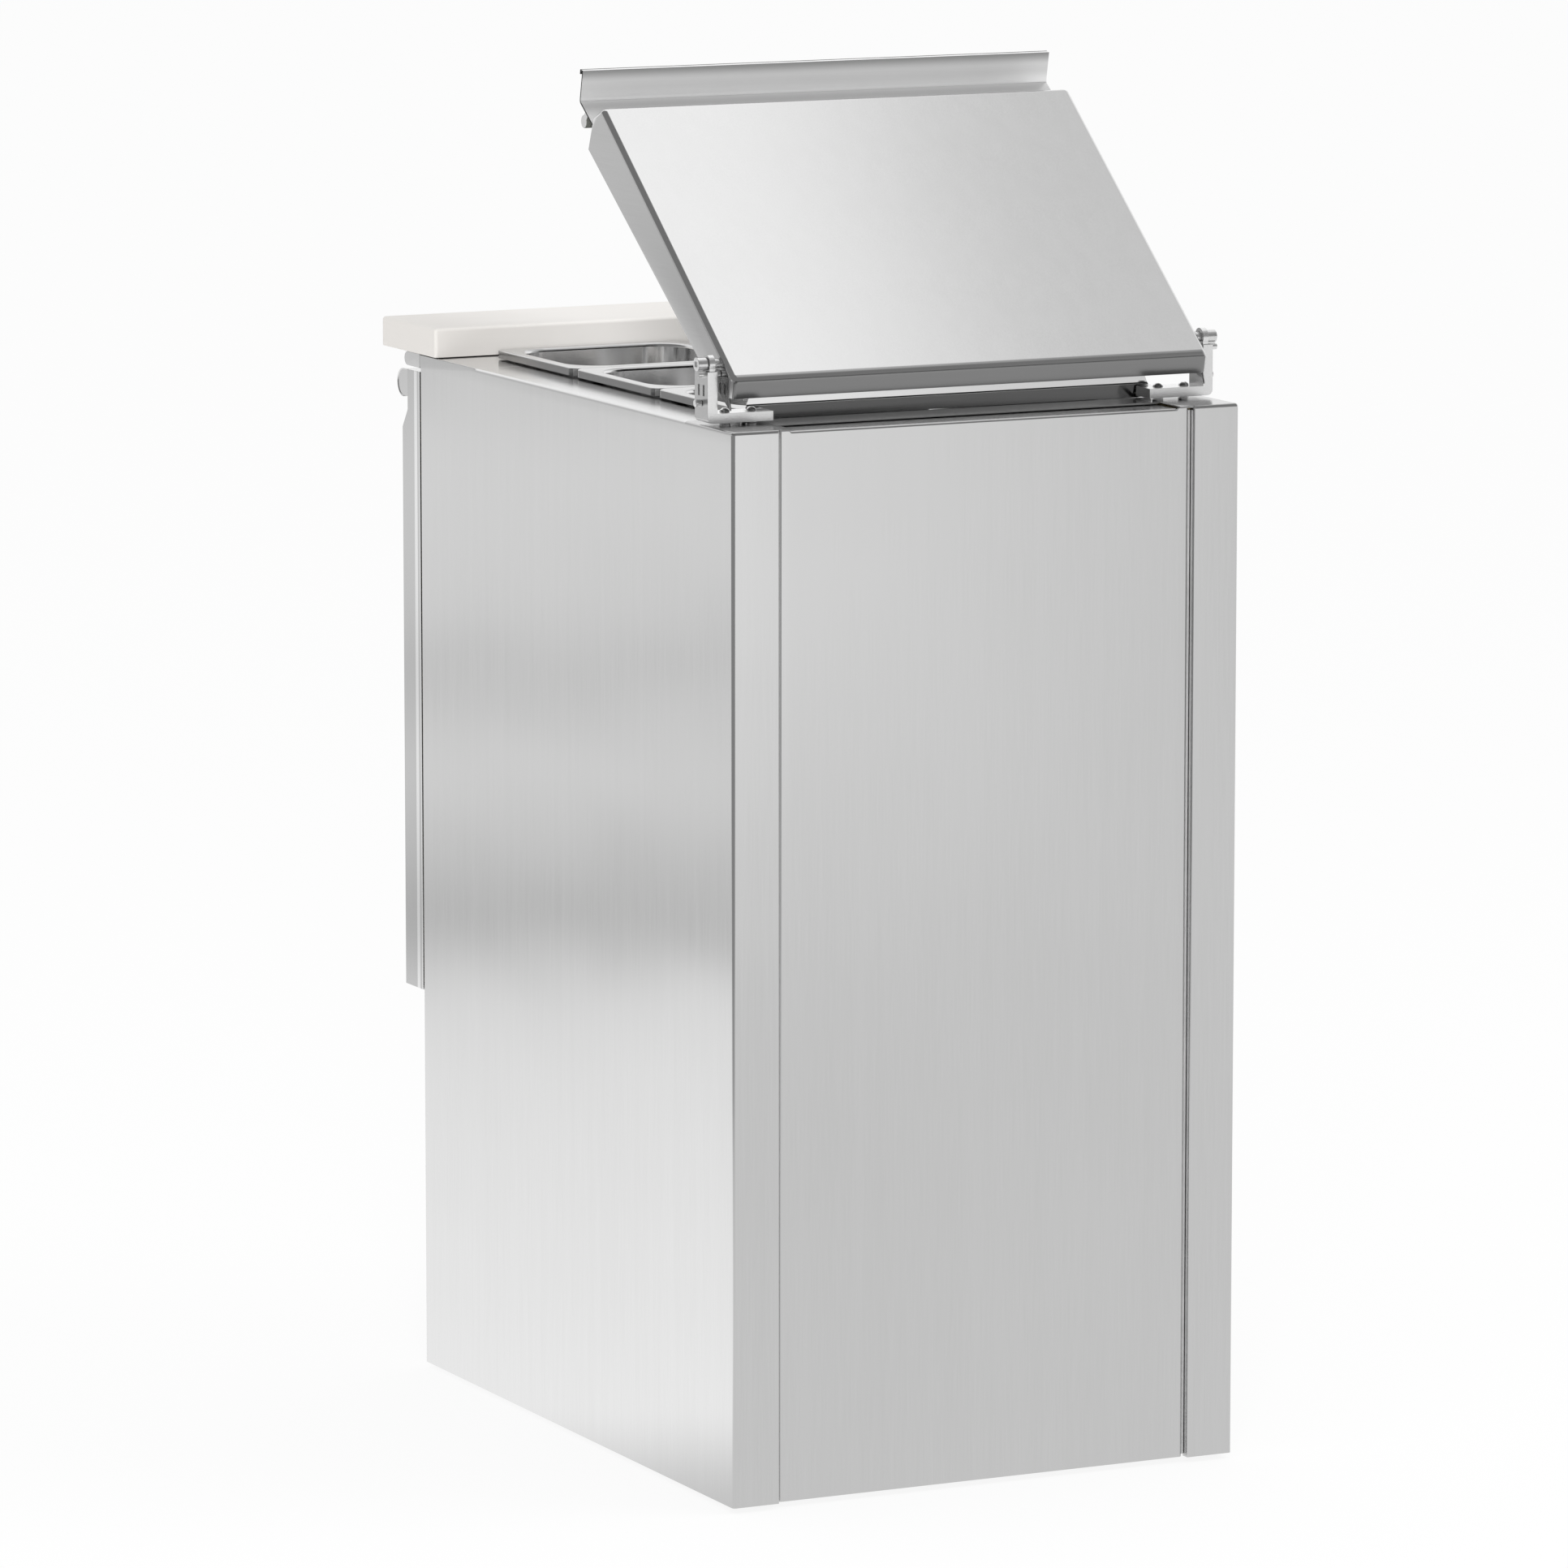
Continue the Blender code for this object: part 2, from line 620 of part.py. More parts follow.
def food_pan(column, row, name):
    """Pressed pan: tapered walls, flat rim with a turned-down edge."""
    x, depth = pan_middle(column, row)
    half_w = PAN_WIDTH / 2 - LIFT_GAP / 2
    half_l = PAN_LENGTH / 2 - LIFT_GAP / 2
    wall = PAN_RIM_WIDTH
    rim_top = TOP_Z + PAN_RIM_HEIGHT
    bottom = rim_top - PAN_DEPTH
    outer = wall - PAN_SHEET
    foot = PAN_RIM_FOOT
    loops = []

    def ring(inset, radius, z):
        points = rounded(half_w - inset, half_l - inset, radius)
        loops.append([(x + p, depth_y(depth) + q, z) for p, q in points])

    ring(outer + PAN_TAPER, PAN_WALL_RADIUS, bottom)
    ring(outer, PAN_WALL_RADIUS, TOP_Z + FIT)
    ring(foot, PAN_RIM_RADIUS, TOP_Z + FIT)
    ring(foot, PAN_RIM_RADIUS, TOP_Z + PAN_RIM_SHADOW)
    ring(0.0, PAN_RIM_RADIUS, TOP_Z + PAN_RIM_SHADOW)
    ring(0.0, PAN_RIM_RADIUS, rim_top - PAN_SHEET)
    ring(PAN_SHEET, PAN_RIM_RADIUS - PAN_SHEET, rim_top)
    ring(wall, PAN_WALL_RADIUS - PAN_SHEET, rim_top)
    ring(wall + PAN_TAPER, PAN_WALL_RADIUS - PAN_SHEET, bottom + PAN_SHEET)
    pivot = pivot_empty(f"{name}_lift", x, depth, TOP_Z)
    return node(loft(loops), name, polished(), pivot)


def food_pans():
    rows = ("rear", "middle", "front")
    columns = ("left", "right")
    for row in range(PAN_ROWS):
        for column in range(PAN_COLUMNS):
            food_pan(column, row, f"pan_{rows[row]}_{columns[column]}")


def cutting_board():
    front = CABINET_DEPTH + BOARD_OVERHANG
    rear = front - BOARD_DEPTH
    low = TOP_Z + NOSE_RISE + FIT
    half_l = BOARD_DEPTH / 2
    middle = depth_y((front + rear) / 2)
    loops = []
    for inset, z in ((BOARD_EDGE, low), (0.0, low + BOARD_EDGE),
                     (0.0, low + BOARD_THICKNESS - BOARD_EDGE), (BOARD_EDGE, low + BOARD_THICKNESS)):
        points = rounded(HALF - inset, half_l - inset, 2 * BOARD_EDGE - inset, 2)
        loops.append([(p, middle + q, z) for p, q in points])
    pivot = pivot_empty("cutting_board_lift", 0.0, (front + rear) / 2, low)
    look = material("white_board", (0.93, 0.91, 0.89), 0.5, 0.0)
    return node(loft(loops), "cutting_board", look, pivot)


# Lid and its hinges

def strip(points, thickness):
    """Closed outline of a folded sheet: a polyline and its offset to the right."""
    offset = []
    count = len(points)
    for i in range(count):
        here = Vector(points[i])
        before = (here - Vector(points[i - 1])).normalized() if i > 0 else None
        after = (Vector(points[i + 1]) - here).normalized() if i < count - 1 else None
        first = before or after
        last = after or before
        normal = Vector((first.y + last.y, -first.x - last.x)).normalized()
        reach = thickness / normal.dot(Vector((last.y, -last.x)))
        offset.append(tuple(here + normal * reach))
    return list(points) + offset[::-1]


def lid_pieces():
    pivot = pivot_empty("lid_pivot", 0.0, PIVOT_DEPTH, TOP_Z + PIVOT_HEIGHT, LID_ANGLE)
    lid_hood(pivot)
    lid_liner(pivot)
    lid_handle(pivot)
    lid_bumpers(pivot)


def lid_hood(pivot):
    """Folded hood: top, tapered sides, short front wall and rear skirt."""
    skirt_slant = LID_REAR_SLANT * LID_SKIRT / LID_SIDE_REAR
    fold = [(-LID_REAR - skirt_slant, LID_TOP - LID_SKIRT), (-LID_REAR, LID_TOP),
            (LID_FRONT, LID_TOP), (LID_FRONT + LID_FRONT_SLANT, LID_TOP - LID_FRONT_BEND),
            (LID_FRONT + LID_FRONT_SLANT, LID_TOP - LID_FRONT_WALL)]
    hood = prism(strip(fold, LID_SHEET), -LID_HALF, LID_HALF, lid_across)
    side = [(-LID_REAR, LID_TOP), (LID_FRONT, LID_TOP),
            (LID_FRONT + LID_FRONT_SLANT, LID_TOP - LID_FRONT_BEND),
            (LID_FRONT - LID_FRONT_RAKE, LID_TOP - LID_SIDE_FRONT),
            (LID_SIDE_MIDDLE_AT, LID_TOP - LID_SIDE_MIDDLE),
            (-LID_REAR - LID_REAR_SLANT, LID_TOP - LID_SIDE_REAR)]
    walls = []
    for sign in (-1, 1):
        walls.append(prism(side, sign * (LID_HALF - LID_SHEET), sign * LID_HALF, lid_across))
    union(hood, *walls)
    hole = circle(0.0, 0.0, BOLT_RADIUS + RUNNING_GAP)
    cut(hood, prism(hole, -HALF, HALF, lid_across))
    return node(hood, "lid_hood", steel(), pivot, True)


def lid_liner(pivot):
    top = LID_TOP - LID_SHEET - FIT
    rear = -LID_REAR + LID_SHEET + FIT
    front = LID_FRONT - LID_SHEET - FIT
    outline = [(rear, top), (front, top), (front, top - LINER_SHEET), (rear, top - LINER_SHEET)]
    half = LID_HALF - LID_SHEET - FIT
    return node(prism(outline, -half, half, lid_across), "lid_liner", black(), pivot, True)


def handle_line():
    """Upper face of the handle: start, bend and lip top."""
    start = (LID_FRONT + LID_FRONT_SLANT - LID_SHEET, LID_TOP - LID_FRONT_WALL - FIT)
    bend = (LID_FRONT + LID_FRONT_SLANT + HANDLE_WEB, start[1] - HANDLE_SAG)
    lip = (bend[0] + HANDLE_LIP * math.cos(HANDLE_LIP_ANGLE),
           bend[1] + HANDLE_LIP * math.sin(HANDLE_LIP_ANGLE))
    return [start, bend, lip]


def lid_handle(pivot):
    made = prism(strip(handle_line(), LID_SHEET), -LID_HALF, LID_HALF, lid_across)
    return node(made, "lid_handle", steel(), pivot, True)


def lid_bumpers(pivot):
    rubber = material("grey_rubber", (0.42, 0.45, 0.42), 0.7, 0.0)
    start, bend, lip = handle_line()
    u = LID_FRONT + BUMPER_AT
    v = LID_TOP - BUMPER_DROP
    under_web = bend[1] - LID_SHEET - FIT
    for name, sign in (("left", -1), ("right", 1)):
        outer = sign * (LID_HALF - BUMPER_END)
        inner = outer - sign * BUMPER_LENGTH
        roller = prism(circle(u, v, BUMPER_RADIUS), inner, outer, lid_across)
        half = BUMPER_STEM / 2
        stem = [(u - half, v), (u + half, v), (u + half, under_web), (u - half, under_web)]
        post = prism(stem, inner, outer, lid_across)
        node(union(roller, post), f"lid_bumper_{name}", rubber, pivot, True)


def hinge_bracket(side, name):
    """Bent bar: foot on pads with dome screws, slotted leg, ear for the pivot and a cross pin."""
    rear = BRACKET_DEPTH
    front = BRACKET_DEPTH + BRACKET_WIDTH
    low = TOP_Z + BRACKET_LIFT
    leg_in = HALF - BRACKET_THICKNESS
    foot_top = low + BRACKET_FOOT_HEIGHT
    turn = BRACKET_THICKNESS / 2
    profile = [(HALF - BRACKET_FOOT, low)]
    profile += arc(HALF - turn, low + turn, turn, -90, 0, 4)
    profile += [(HALF, TOP_Z + BRACKET_LEG_TOP), (leg_in, TOP_Z + BRACKET_LEG_TOP),
                (leg_in, foot_top), (HALF - BRACKET_FOOT, foot_top)]
    bar = prism([(side * x, z) for x, z in profile], rear, front, fore)
    pivot_z = TOP_Z + PIVOT_HEIGHT
    ear_out = side * (HALF - EAR_INSET)
    ear_in = side * (HALF - EAR_INSET - EAR_THICKNESS)
    eye = prism(circle(PIVOT_DEPTH, pivot_z, EAR_RADIUS), ear_in, ear_out, across)
    neck = block(ear_in, ear_out, PIVOT_DEPTH - EAR_NECK / 2, PIVOT_DEPTH + EAR_NECK / 2,
                 TOP_Z + BRACKET_LEG_TOP - BRACKET_THICKNESS, pivot_z)
    cross = rod_x(side * (HALF + CROSS_PIN_REACH), side * (HALF - LID_INSET + LIFT_GAP),
                  PIVOT_DEPTH - CROSS_PIN_BACK, TOP_Z + CROSS_PIN_HEIGHT, CROSS_PIN_RADIUS)
    sunk = BRACKET_FOOT_HEIGHT / 2
    dome = [(SCREW_RADIUS, -sunk), (SCREW_RADIUS, 0.0),
            (SCREW_RADIUS * math.cos(math.radians(30)), SCREW_HEIGHT / 2),
            (SCREW_RADIUS * math.cos(math.radians(65)), SCREW_HEIGHT)]
    pads = []
    for x, depth in screw_places(side):
        pads.append(rod_z(x, depth, TOP_Z + FIT, low + SHEET, SCREW_RADIUS))
        pads.append(lathe(dome, x, depth, foot_top, sides=12))
    union(bar, eye, neck, cross, *pads)
    bolt_hole = rod_x(side * (HALF + BRACKET_THICKNESS), side * (leg_in - SHEET), PIVOT_DEPTH,
                      pivot_z, BOLT_RADIUS + FIT)
    slots = []
    middle = rear + BRACKET_WIDTH / 2
    for offset in (-SLOT_SPACING / 2, SLOT_SPACING / 2):
        slots.append(side_block(side, leg_in - SHEET, HALF + SHEET, middle + offset - SLOT_WIDTH / 2,
                                middle + offset + SLOT_WIDTH / 2, TOP_Z + SLOT_LOW,
                                TOP_Z + SLOT_LOW + SLOT_LENGTH))
    return node(cut(bar, bolt_hole, *slots), name, cast())


def screw_places(side):
    """Bracket screws: X and depth."""
    inner = HALF - BRACKET_FOOT + SCREW_INSET
    depth = BRACKET_DEPTH + BRACKET_WIDTH / 2
    return [(side * inner, depth), (side * (inner + SCREW_SPACING), depth)]


def hinge_fasteners(side, name):
    """Pivot bolt with a square socket, and the stop pin, of one bracket."""
    pivot_z = TOP_Z + PIVOT_HEIGHT
    head_in = side * (HALF - EAR_INSET + FIT)
    head_out = side * (HALF + CROSS_PIN_REACH)
    head = rod_x(head_in, head_out, PIVOT_DEPTH, pivot_z, BOLT_HEAD_RADIUS)
    shank_end = side * (LID_HALF - LID_SHEET - BOLT_REACH)
    shank = rod_x(shank_end, head_in + side * SHEET, PIVOT_DEPTH, pivot_z, BOLT_RADIUS)
    union(head, shank)
    socket = block(head_out - side * BOLT_HEAD / 2, head_out + side * BOLT_HEAD,
                   PIVOT_DEPTH - BOLT_SOCKET, PIVOT_DEPTH + BOLT_SOCKET,
                   pivot_z - BOLT_SOCKET, pivot_z + BOLT_SOCKET)
    node(cut(head, socket), f"pivot_bolt_{name}", cast())
    pin = rod_x(side * (HALF + FIT), side * (HALF + STOP_PIN_REACH),
                BRACKET_DEPTH + BRACKET_WIDTH / 2, TOP_Z + STOP_PIN_HEIGHT, STOP_PIN_RADIUS)
    node(pin, f"stop_pin_{name}", cast())


# Door

def door_outline(inset, back):
    """Side view of the door, drawn in by a sheet thickness, from a given back depth."""
    recess = DOOR_FACE - DOOR_RECESS - inset
    recess_low = DOOR_TOP - GRIP_DIAMETER - DOOR_RECESS_HEIGHT
    return [(back, DOOR_BOTTOM + inset), (DOOR_FACE - inset, DOOR_BOTTOM + inset),
            (DOOR_FACE - inset, recess_low - DOOR_RECESS_TAPER), (recess, recess_low),
            (recess, DOOR_TOP - inset), (back, DOOR_TOP - inset)]


def door_pin_holes(extra):
    """Bores for the two hinge pins."""
    radius = DOOR_PIN_RADIUS + RUNNING_GAP
    top = rod_z(DOOR_AXIS_X, DOOR_AXIS_DEPTH, DOOR_TOP - DOOR_PIN_LENGTH - extra,
                DOOR_TOP + DOOR_TOP_GAP, radius)
    bottom = rod_z(DOOR_AXIS_X, DOOR_AXIS_DEPTH, CEILING_Z, DOOR_BOTTOM + DOOR_PIN_LENGTH + extra,
                   radius)
    return top, bottom


def door_pieces():
    pivot = pivot_empty("door_pivot", DOOR_AXIS_X, DOOR_AXIS_DEPTH, DOOR_BOTTOM)
    white = material("door_inner_sheet", (0.75, 0.75, 0.76), 0.35, 1.0)
    shell = prism(door_outline(0.0, DOOR_BACK), -DOOR_HALF, DOOR_HALF, across)
    pocket_half = DOOR_HALF - DOOR_SHEET
    pocket = prism(door_outline(DOOR_SHEET, DOOR_BACK - DOOR_GAP), -pocket_half, pocket_half, across)
    node(cut(shell, pocket, *door_pin_holes(DOOR_GAP)), "door_shell", steel(), pivot)
    fill_half = pocket_half - FIT
    fill = prism(door_outline(DOOR_SHEET + FIT, DOOR_BACK + LINER_SHEET + FIT), -fill_half, fill_half,
                 across)
    foam = material("insulation_foam", (0.85, 0.78, 0.55), 0.9, 0.0)
    node(cut(fill, *door_pin_holes(DOOR_GAP)), "door_foam", foam, pivot)
    inset = DOOR_SHEET + FIT
    panel = block(-fill_half, fill_half, DOOR_BACK, DOOR_BACK + LINER_SHEET, DOOR_BOTTOM + inset,
                  DOOR_TOP - inset)
    node(panel, "door_inner_panel", white, pivot)
    door_gasket(pivot)
    door_grip(pivot)


def door_gasket(pivot):
    """Rubber ring that lands on the frame round the chamber opening."""
    half = HALF - GASKET_INSET
    low = LINER_FLOOR - GASKET_WIDTH
    high = TOP_Z - RAIL_BOX_HEIGHT + GASKET_WIDTH
    near = CABINET_DEPTH + FIT
    far = DOOR_BACK - FIT
    ring = block(-half, half, near, far, low, high)
    hole = block(-half + GASKET_WIDTH, half - GASKET_WIDTH, near - DOOR_GAP, far + DOOR_GAP,
                 low + GASKET_WIDTH, high - GASKET_WIDTH)
    rubber = material("gasket_rubber", (0.05, 0.05, 0.05), 0.75, 0.0)
    return node(cut(ring, hole), "door_gasket", rubber, pivot)


def door_grip(pivot):
    """Full-width grip: sheet rolled over the top edge of the door."""
    radius = GRIP_DIAMETER / 2
    middle = DOOR_FACE + GRIP_REACH - radius
    line = [(DOOR_FACE - DOOR_RECESS + FIT, DOOR_TOP)]
    line += arc(middle, DOOR_TOP - radius, radius, 90, -90, 10)
    made = prism(strip(line, DOOR_SHEET), -DOOR_HALF, DOOR_HALF, across)
    return node(made, "door_grip", polished(), pivot)


def door_hinges():
    """Fixed hinge plates with pins that enter the door from above and below."""
    rear = CABINET_DEPTH + FIT
    front = DOOR_AXIS_DEPTH + 2 * DOOR_PIN_RADIUS
    left = -HALF + DOOR_SIDE_GAP
    right = left + HINGE_TONGUE
    plate_top = DOOR_BOTTOM - LIFT_GAP
    tongue = block(left, right, rear, front, plate_top - HINGE_PLATE, plate_top)
    leaf = block(left, right, rear, rear + HINGE_PLATE, plate_top - HINGE_LEAF_HEIGHT, plate_top)
    pin = rod_z(DOOR_AXIS_X, DOOR_AXIS_DEPTH, plate_top - HINGE_PLATE / 2,
                DOOR_BOTTOM + DOOR_PIN_LENGTH, DOOR_PIN_RADIUS)
    node(union(tongue, leaf, pin), "door_hinge_lower", cast())
    nose_under = TOP_Z + NOSE_RISE - NOSE_HEIGHT - FIT
    plate_low = DOOR_TOP + LIFT_GAP
    upper = block(left, right, rear, CABINET_DEPTH + NOSE_REACH - NOSE_HEIGHT / 2, plate_low,
                  nose_under)
    upper_pin = rod_z(DOOR_AXIS_X, DOOR_AXIS_DEPTH, DOOR_TOP - DOOR_PIN_LENGTH, nose_under - FIT,
                      DOOR_PIN_RADIUS)
    node(union(upper, upper_pin), "door_hinge_upper", cast())


def chamber_sill():
    made = block(-SILL_HALF, SILL_HALF, INNER_FRONT + FIT, CABINET_DEPTH, CEILING_Z, LINER_FLOOR)
    return node(made, "chamber_sill", steel())


# Shelf

def shelf_pieces():
    rail_low = LINER_FLOOR + SHELF_HEIGHT
    rail_top = rail_low + SHELF_RAIL_HEIGHT
    for name, side in (("left", -1), ("right", 1)):
        rail = side_block(side, LINER_INNER - FIT - SHELF_RAIL_WIDTH, LINER_INNER - FIT,
                          LINER_REAR + SHELF_RAIL_INSET, INNER_FRONT - SHELF_RAIL_INSET,
                          rail_low, rail_top)
        node(rail, f"shelf_rail_{name}", steel())
    half = LINER_INNER - SHELF_SIDE_GAP
    rear = LINER_REAR + SHELF_RAIL_INSET - SHELF_RAIL_HEIGHT
    front = INNER_FRONT - SHELF_RAIL_INSET + SHELF_RAIL_HEIGHT
    low = rail_top + FIT
    shelf = block(-half, half, rear, front, low, low + SHELF_THICKNESS)
    pitch = (2 * half - SHELF_BAR) / SHELF_GAPS
    gaps = []
    for i in range(SHELF_GAPS):
        start = -half + SHELF_BAR + i * pitch
        gaps.append(block(start, start + pitch - SHELF_BAR, rear + SHELF_BAR, front - SHELF_BAR,
                          low - SHELF_BAR, low + SHELF_THICKNESS + SHELF_BAR))
    pivot = pivot_empty("wire_shelf_lift", 0.0, (rear + front) / 2, low)
    return node(cut(shelf, *gaps), "wire_shelf", polished(), pivot)


# Refrigeration

def comb(x0, x1, spine_depth, fin_depth):
    """Plan outline of a finned coil: a spine with fins towards fin_depth."""
    direction = 1 if fin_depth > spine_depth else -1
    root = spine_depth + direction * COIL_SPINE
    count = int((x1 - x0 - COIL_FIN) / COIL_PITCH) + 1
    start = (x0 + x1 - (count - 1) * COIL_PITCH) / 2
    points = [(x1, root), (x1, spine_depth), (x0, spine_depth), (x0, root)]
    for i in range(count):
        left = start + i * COIL_PITCH - COIL_FIN / 2
        right = left + COIL_FIN
        points += [(left, root), (left, fin_depth), (right, fin_depth), (right, root)]
    return points


def evaporator():
    top = TOP_Z - EVAPORATOR_BELOW_TOP
    rear = LINER_REAR + FIT
    outline = comb(-EVAPORATOR_WIDTH / 2, EVAPORATOR_WIDTH / 2, rear, rear + EVAPORATOR_DEPTH)
    made = prism(outline, top - EVAPORATOR_HEIGHT, top, upright)
    return node(made, "evaporator_coil", material("coil_aluminium", (0.7, 0.72, 0.73), 0.4, 1.0))


def condenser():
    low = BASE_TOP + FIT
    x0 = CONDENSER_SIDE - CONDENSER_WIDTH / 2
    outline = comb(x0, x0 + CONDENSER_WIDTH, CONDENSER_REAR, CONDENSER_REAR + CONDENSER_DEPTH)
    made = prism(outline, low, low + CONDENSER_HEIGHT, upright)
    return node(made, "condenser_coil", material("coil_dark", (0.12, 0.12, 0.13), 0.5, 0.6))


def fan_pieces():
    """Condenser fan on the shaft of its motor."""
    front = CONDENSER_REAR - FAN_GAP
    rear = front - FAN_DEPTH
    pivot = pivot_empty("condenser_fan_axis", CONDENSER_SIDE, (front + rear) / 2, FAN_Z)
    hub = rod_y(CONDENSER_SIDE, FAN_Z, rear, front, FAN_HUB_RADIUS)
    blades = []
    for i in range(FAN_BLADES):
        span = [(FAN_HUB_RADIUS / 2, -FAN_BLADE_THICKNESS / 2), (FAN_RADIUS, -FAN_BLADE_THICKNESS / 2),
                (FAN_RADIUS, FAN_BLADE_THICKNESS / 2), (FAN_HUB_RADIUS / 2, FAN_BLADE_THICKNESS / 2)]
        reach = FAN_DEPTH / 2 + FAN_BLADE_THICKNESS
        blade = prism(span, -reach, reach, lambda p, q, r: (p, q, r))
        turn = Matrix.Rotation(2 * math.pi * i / FAN_BLADES, 4, "Y")
        pitch = Matrix.Rotation(math.radians(38), 4, "X")
        blade.data.transform(pivot.matrix_world @ turn @ pitch)
        blades.append(blade)
    union(hub, *blades)
    bore_depth = FAN_DEPTH / 2
    cut(hub, rod_y(CONDENSER_SIDE, FAN_Z, rear - FAN_DEPTH, rear + bore_depth,
                   FAN_SHAFT_RADIUS + RUNNING_GAP))
    node(hub, "condenser_fan", black(), pivot)
    face = rear - FAN_BLADE_THICKNESS
    motor = rod_y(CONDENSER_SIDE, FAN_Z, face - FAN_MOTOR_LENGTH, face, FAN_MOTOR_RADIUS)
    shaft = rod_y(CONDENSER_SIDE, FAN_Z, face - FAN_BLADE_THICKNESS, rear + bore_depth - LIFT_GAP,
                  FAN_SHAFT_RADIUS)
    stand_rear = face - FAN_MOTOR_LENGTH / 2 - MOTOR_STAND / 2
    stand = block(CONDENSER_SIDE - MOTOR_STAND / 2, CONDENSER_SIDE + MOTOR_STAND / 2, stand_rear,
                  stand_rear + MOTOR_STAND, BASE_TOP + FIT, FAN_Z)
    node(union(motor, shaft, stand), "fan_motor", material("motor_grey", (0.3, 0.3, 0.31), 0.5, 0.7))


def compressor():
    height = COMPRESSOR_HEIGHT
    radius = COMPRESSOR_RADIUS
    foot = COMPRESSOR_FOOT
    profile = [(radius / 2, 0.0), (radius / 2, foot), (radius - foot, foot), (radius, 2 * foot),
               (radius, height - 3 * foot), (radius - foot, height - foot), (radius / 2, height)]
    made = lathe(profile, -COMPRESSOR_SIDE, COMPRESSOR_FROM_REAR, BASE_TOP + FIT)
    return node(made, "compressor", material("compressor_black", (0.03, 0.03, 0.03), 0.45, 0.2))


def pipe(points, radius, name):
    """Copper pipe through the given places, mitred at its corners."""
    places = [Vector((x, depth_y(depth), z)) for x, depth, z in points]
    loops = []
    side = Vector((0.0, 0.0, 0.0))
    for i, place in enumerate(places):
        into = (place - places[i - 1]).normalized() if i > 0 else (places[1] - place).normalized()
        out = (places[i + 1] - place).normalized() if i < len(places) - 1 else into
        plane = (into + out).normalized()
        if i == 0:
            side = into.orthogonal().normalized()
        other = into.cross(side)
        ring = []
        for p, q in circle(0.0, 0.0, radius, 10):
            offset = side * p + other * q
            ring.append(place + offset - into * (offset.dot(plane) / into.dot(plane)))
        loops.append(ring)
        turn = into.rotation_difference(out)
        side = turn @ side
    copper = material("copper", (0.72, 0.38, 0.22), 0.35, 1.0)
    return node(loft(loops), name, copper)


def pipes():
    top = BASE_TOP + FIT + COMPRESSOR_HEIGHT + FIT
    ceiling = CEILING_Z - BASE_SHEET - FIT
    high = (BASE_TOP + CONDENSER_HEIGHT + ceiling) / 2
    spine = CONDENSER_REAR + COIL_SPINE / 2
    x = -COMPRESSOR_SIDE
    goal = CONDENSER_SIDE - CONDENSER_WIDTH / 2 + 3 * PIPE_RADIUS
    route = [(x, COMPRESSOR_FROM_REAR, top), (x, COMPRESSOR_FROM_REAR, high), (x, spine, high),
             (goal, spine, high), (goal, spine, BASE_TOP + FIT + CONDENSER_HEIGHT + FIT)]
    pipe(route, PIPE_RADIUS, "discharge_pipe")
    side = x + COMPRESSOR_RADIUS / 2 - 2 * PIPE_RADIUS
    pipe([(side, COMPRESSOR_FROM_REAR, top), (side, COMPRESSOR_FROM_REAR, ceiling)], PIPE_RADIUS,
         "suction_pipe")


def drip_tray():
    low = BASE_TOP + FIT
    x0 = INSIDE - FOOT_INSET - TRAY_WIDTH
    x1 = x0 + TRAY_WIDTH
    near = TRAY_FROM_REAR
    far = TRAY_FROM_REAR + TRAY_LENGTH
    tray = block(x0, x1, near, far, low, low + TRAY_HEIGHT)
    hollow = block(x0 + TRAY_WALL, x1 - TRAY_WALL, near + TRAY_WALL, far - TRAY_WALL,
                   low + TRAY_WALL, low + 2 * TRAY_HEIGHT)
    return node(cut(tray, hollow), "drip_tray", black())


# Machine compartment front

def machine_grille():
    plate = block(-INSIDE, INSIDE, INNER_FRONT - BASE_SHEET, INNER_FRONT, BASE_TOP + FIT,
                  CEILING_Z - BASE_SHEET - FIT)
    slots = []
    for i in range(GRILLE_SLOTS):
        low = BOTTOM_Z + GRILLE_LOWEST_SLOT + i * GRILLE_SLOT_PITCH
        slots.append(block(-GRILLE_SLOT_WIDTH / 2, GRILLE_SLOT_WIDTH / 2, INNER_FRONT - 2 * BASE_SHEET,
                           INNER_FRONT + BASE_SHEET, low, low + GRILLE_SLOT_HEIGHT))
    return node(cut(plate, *slots), "machine_grille", steel())


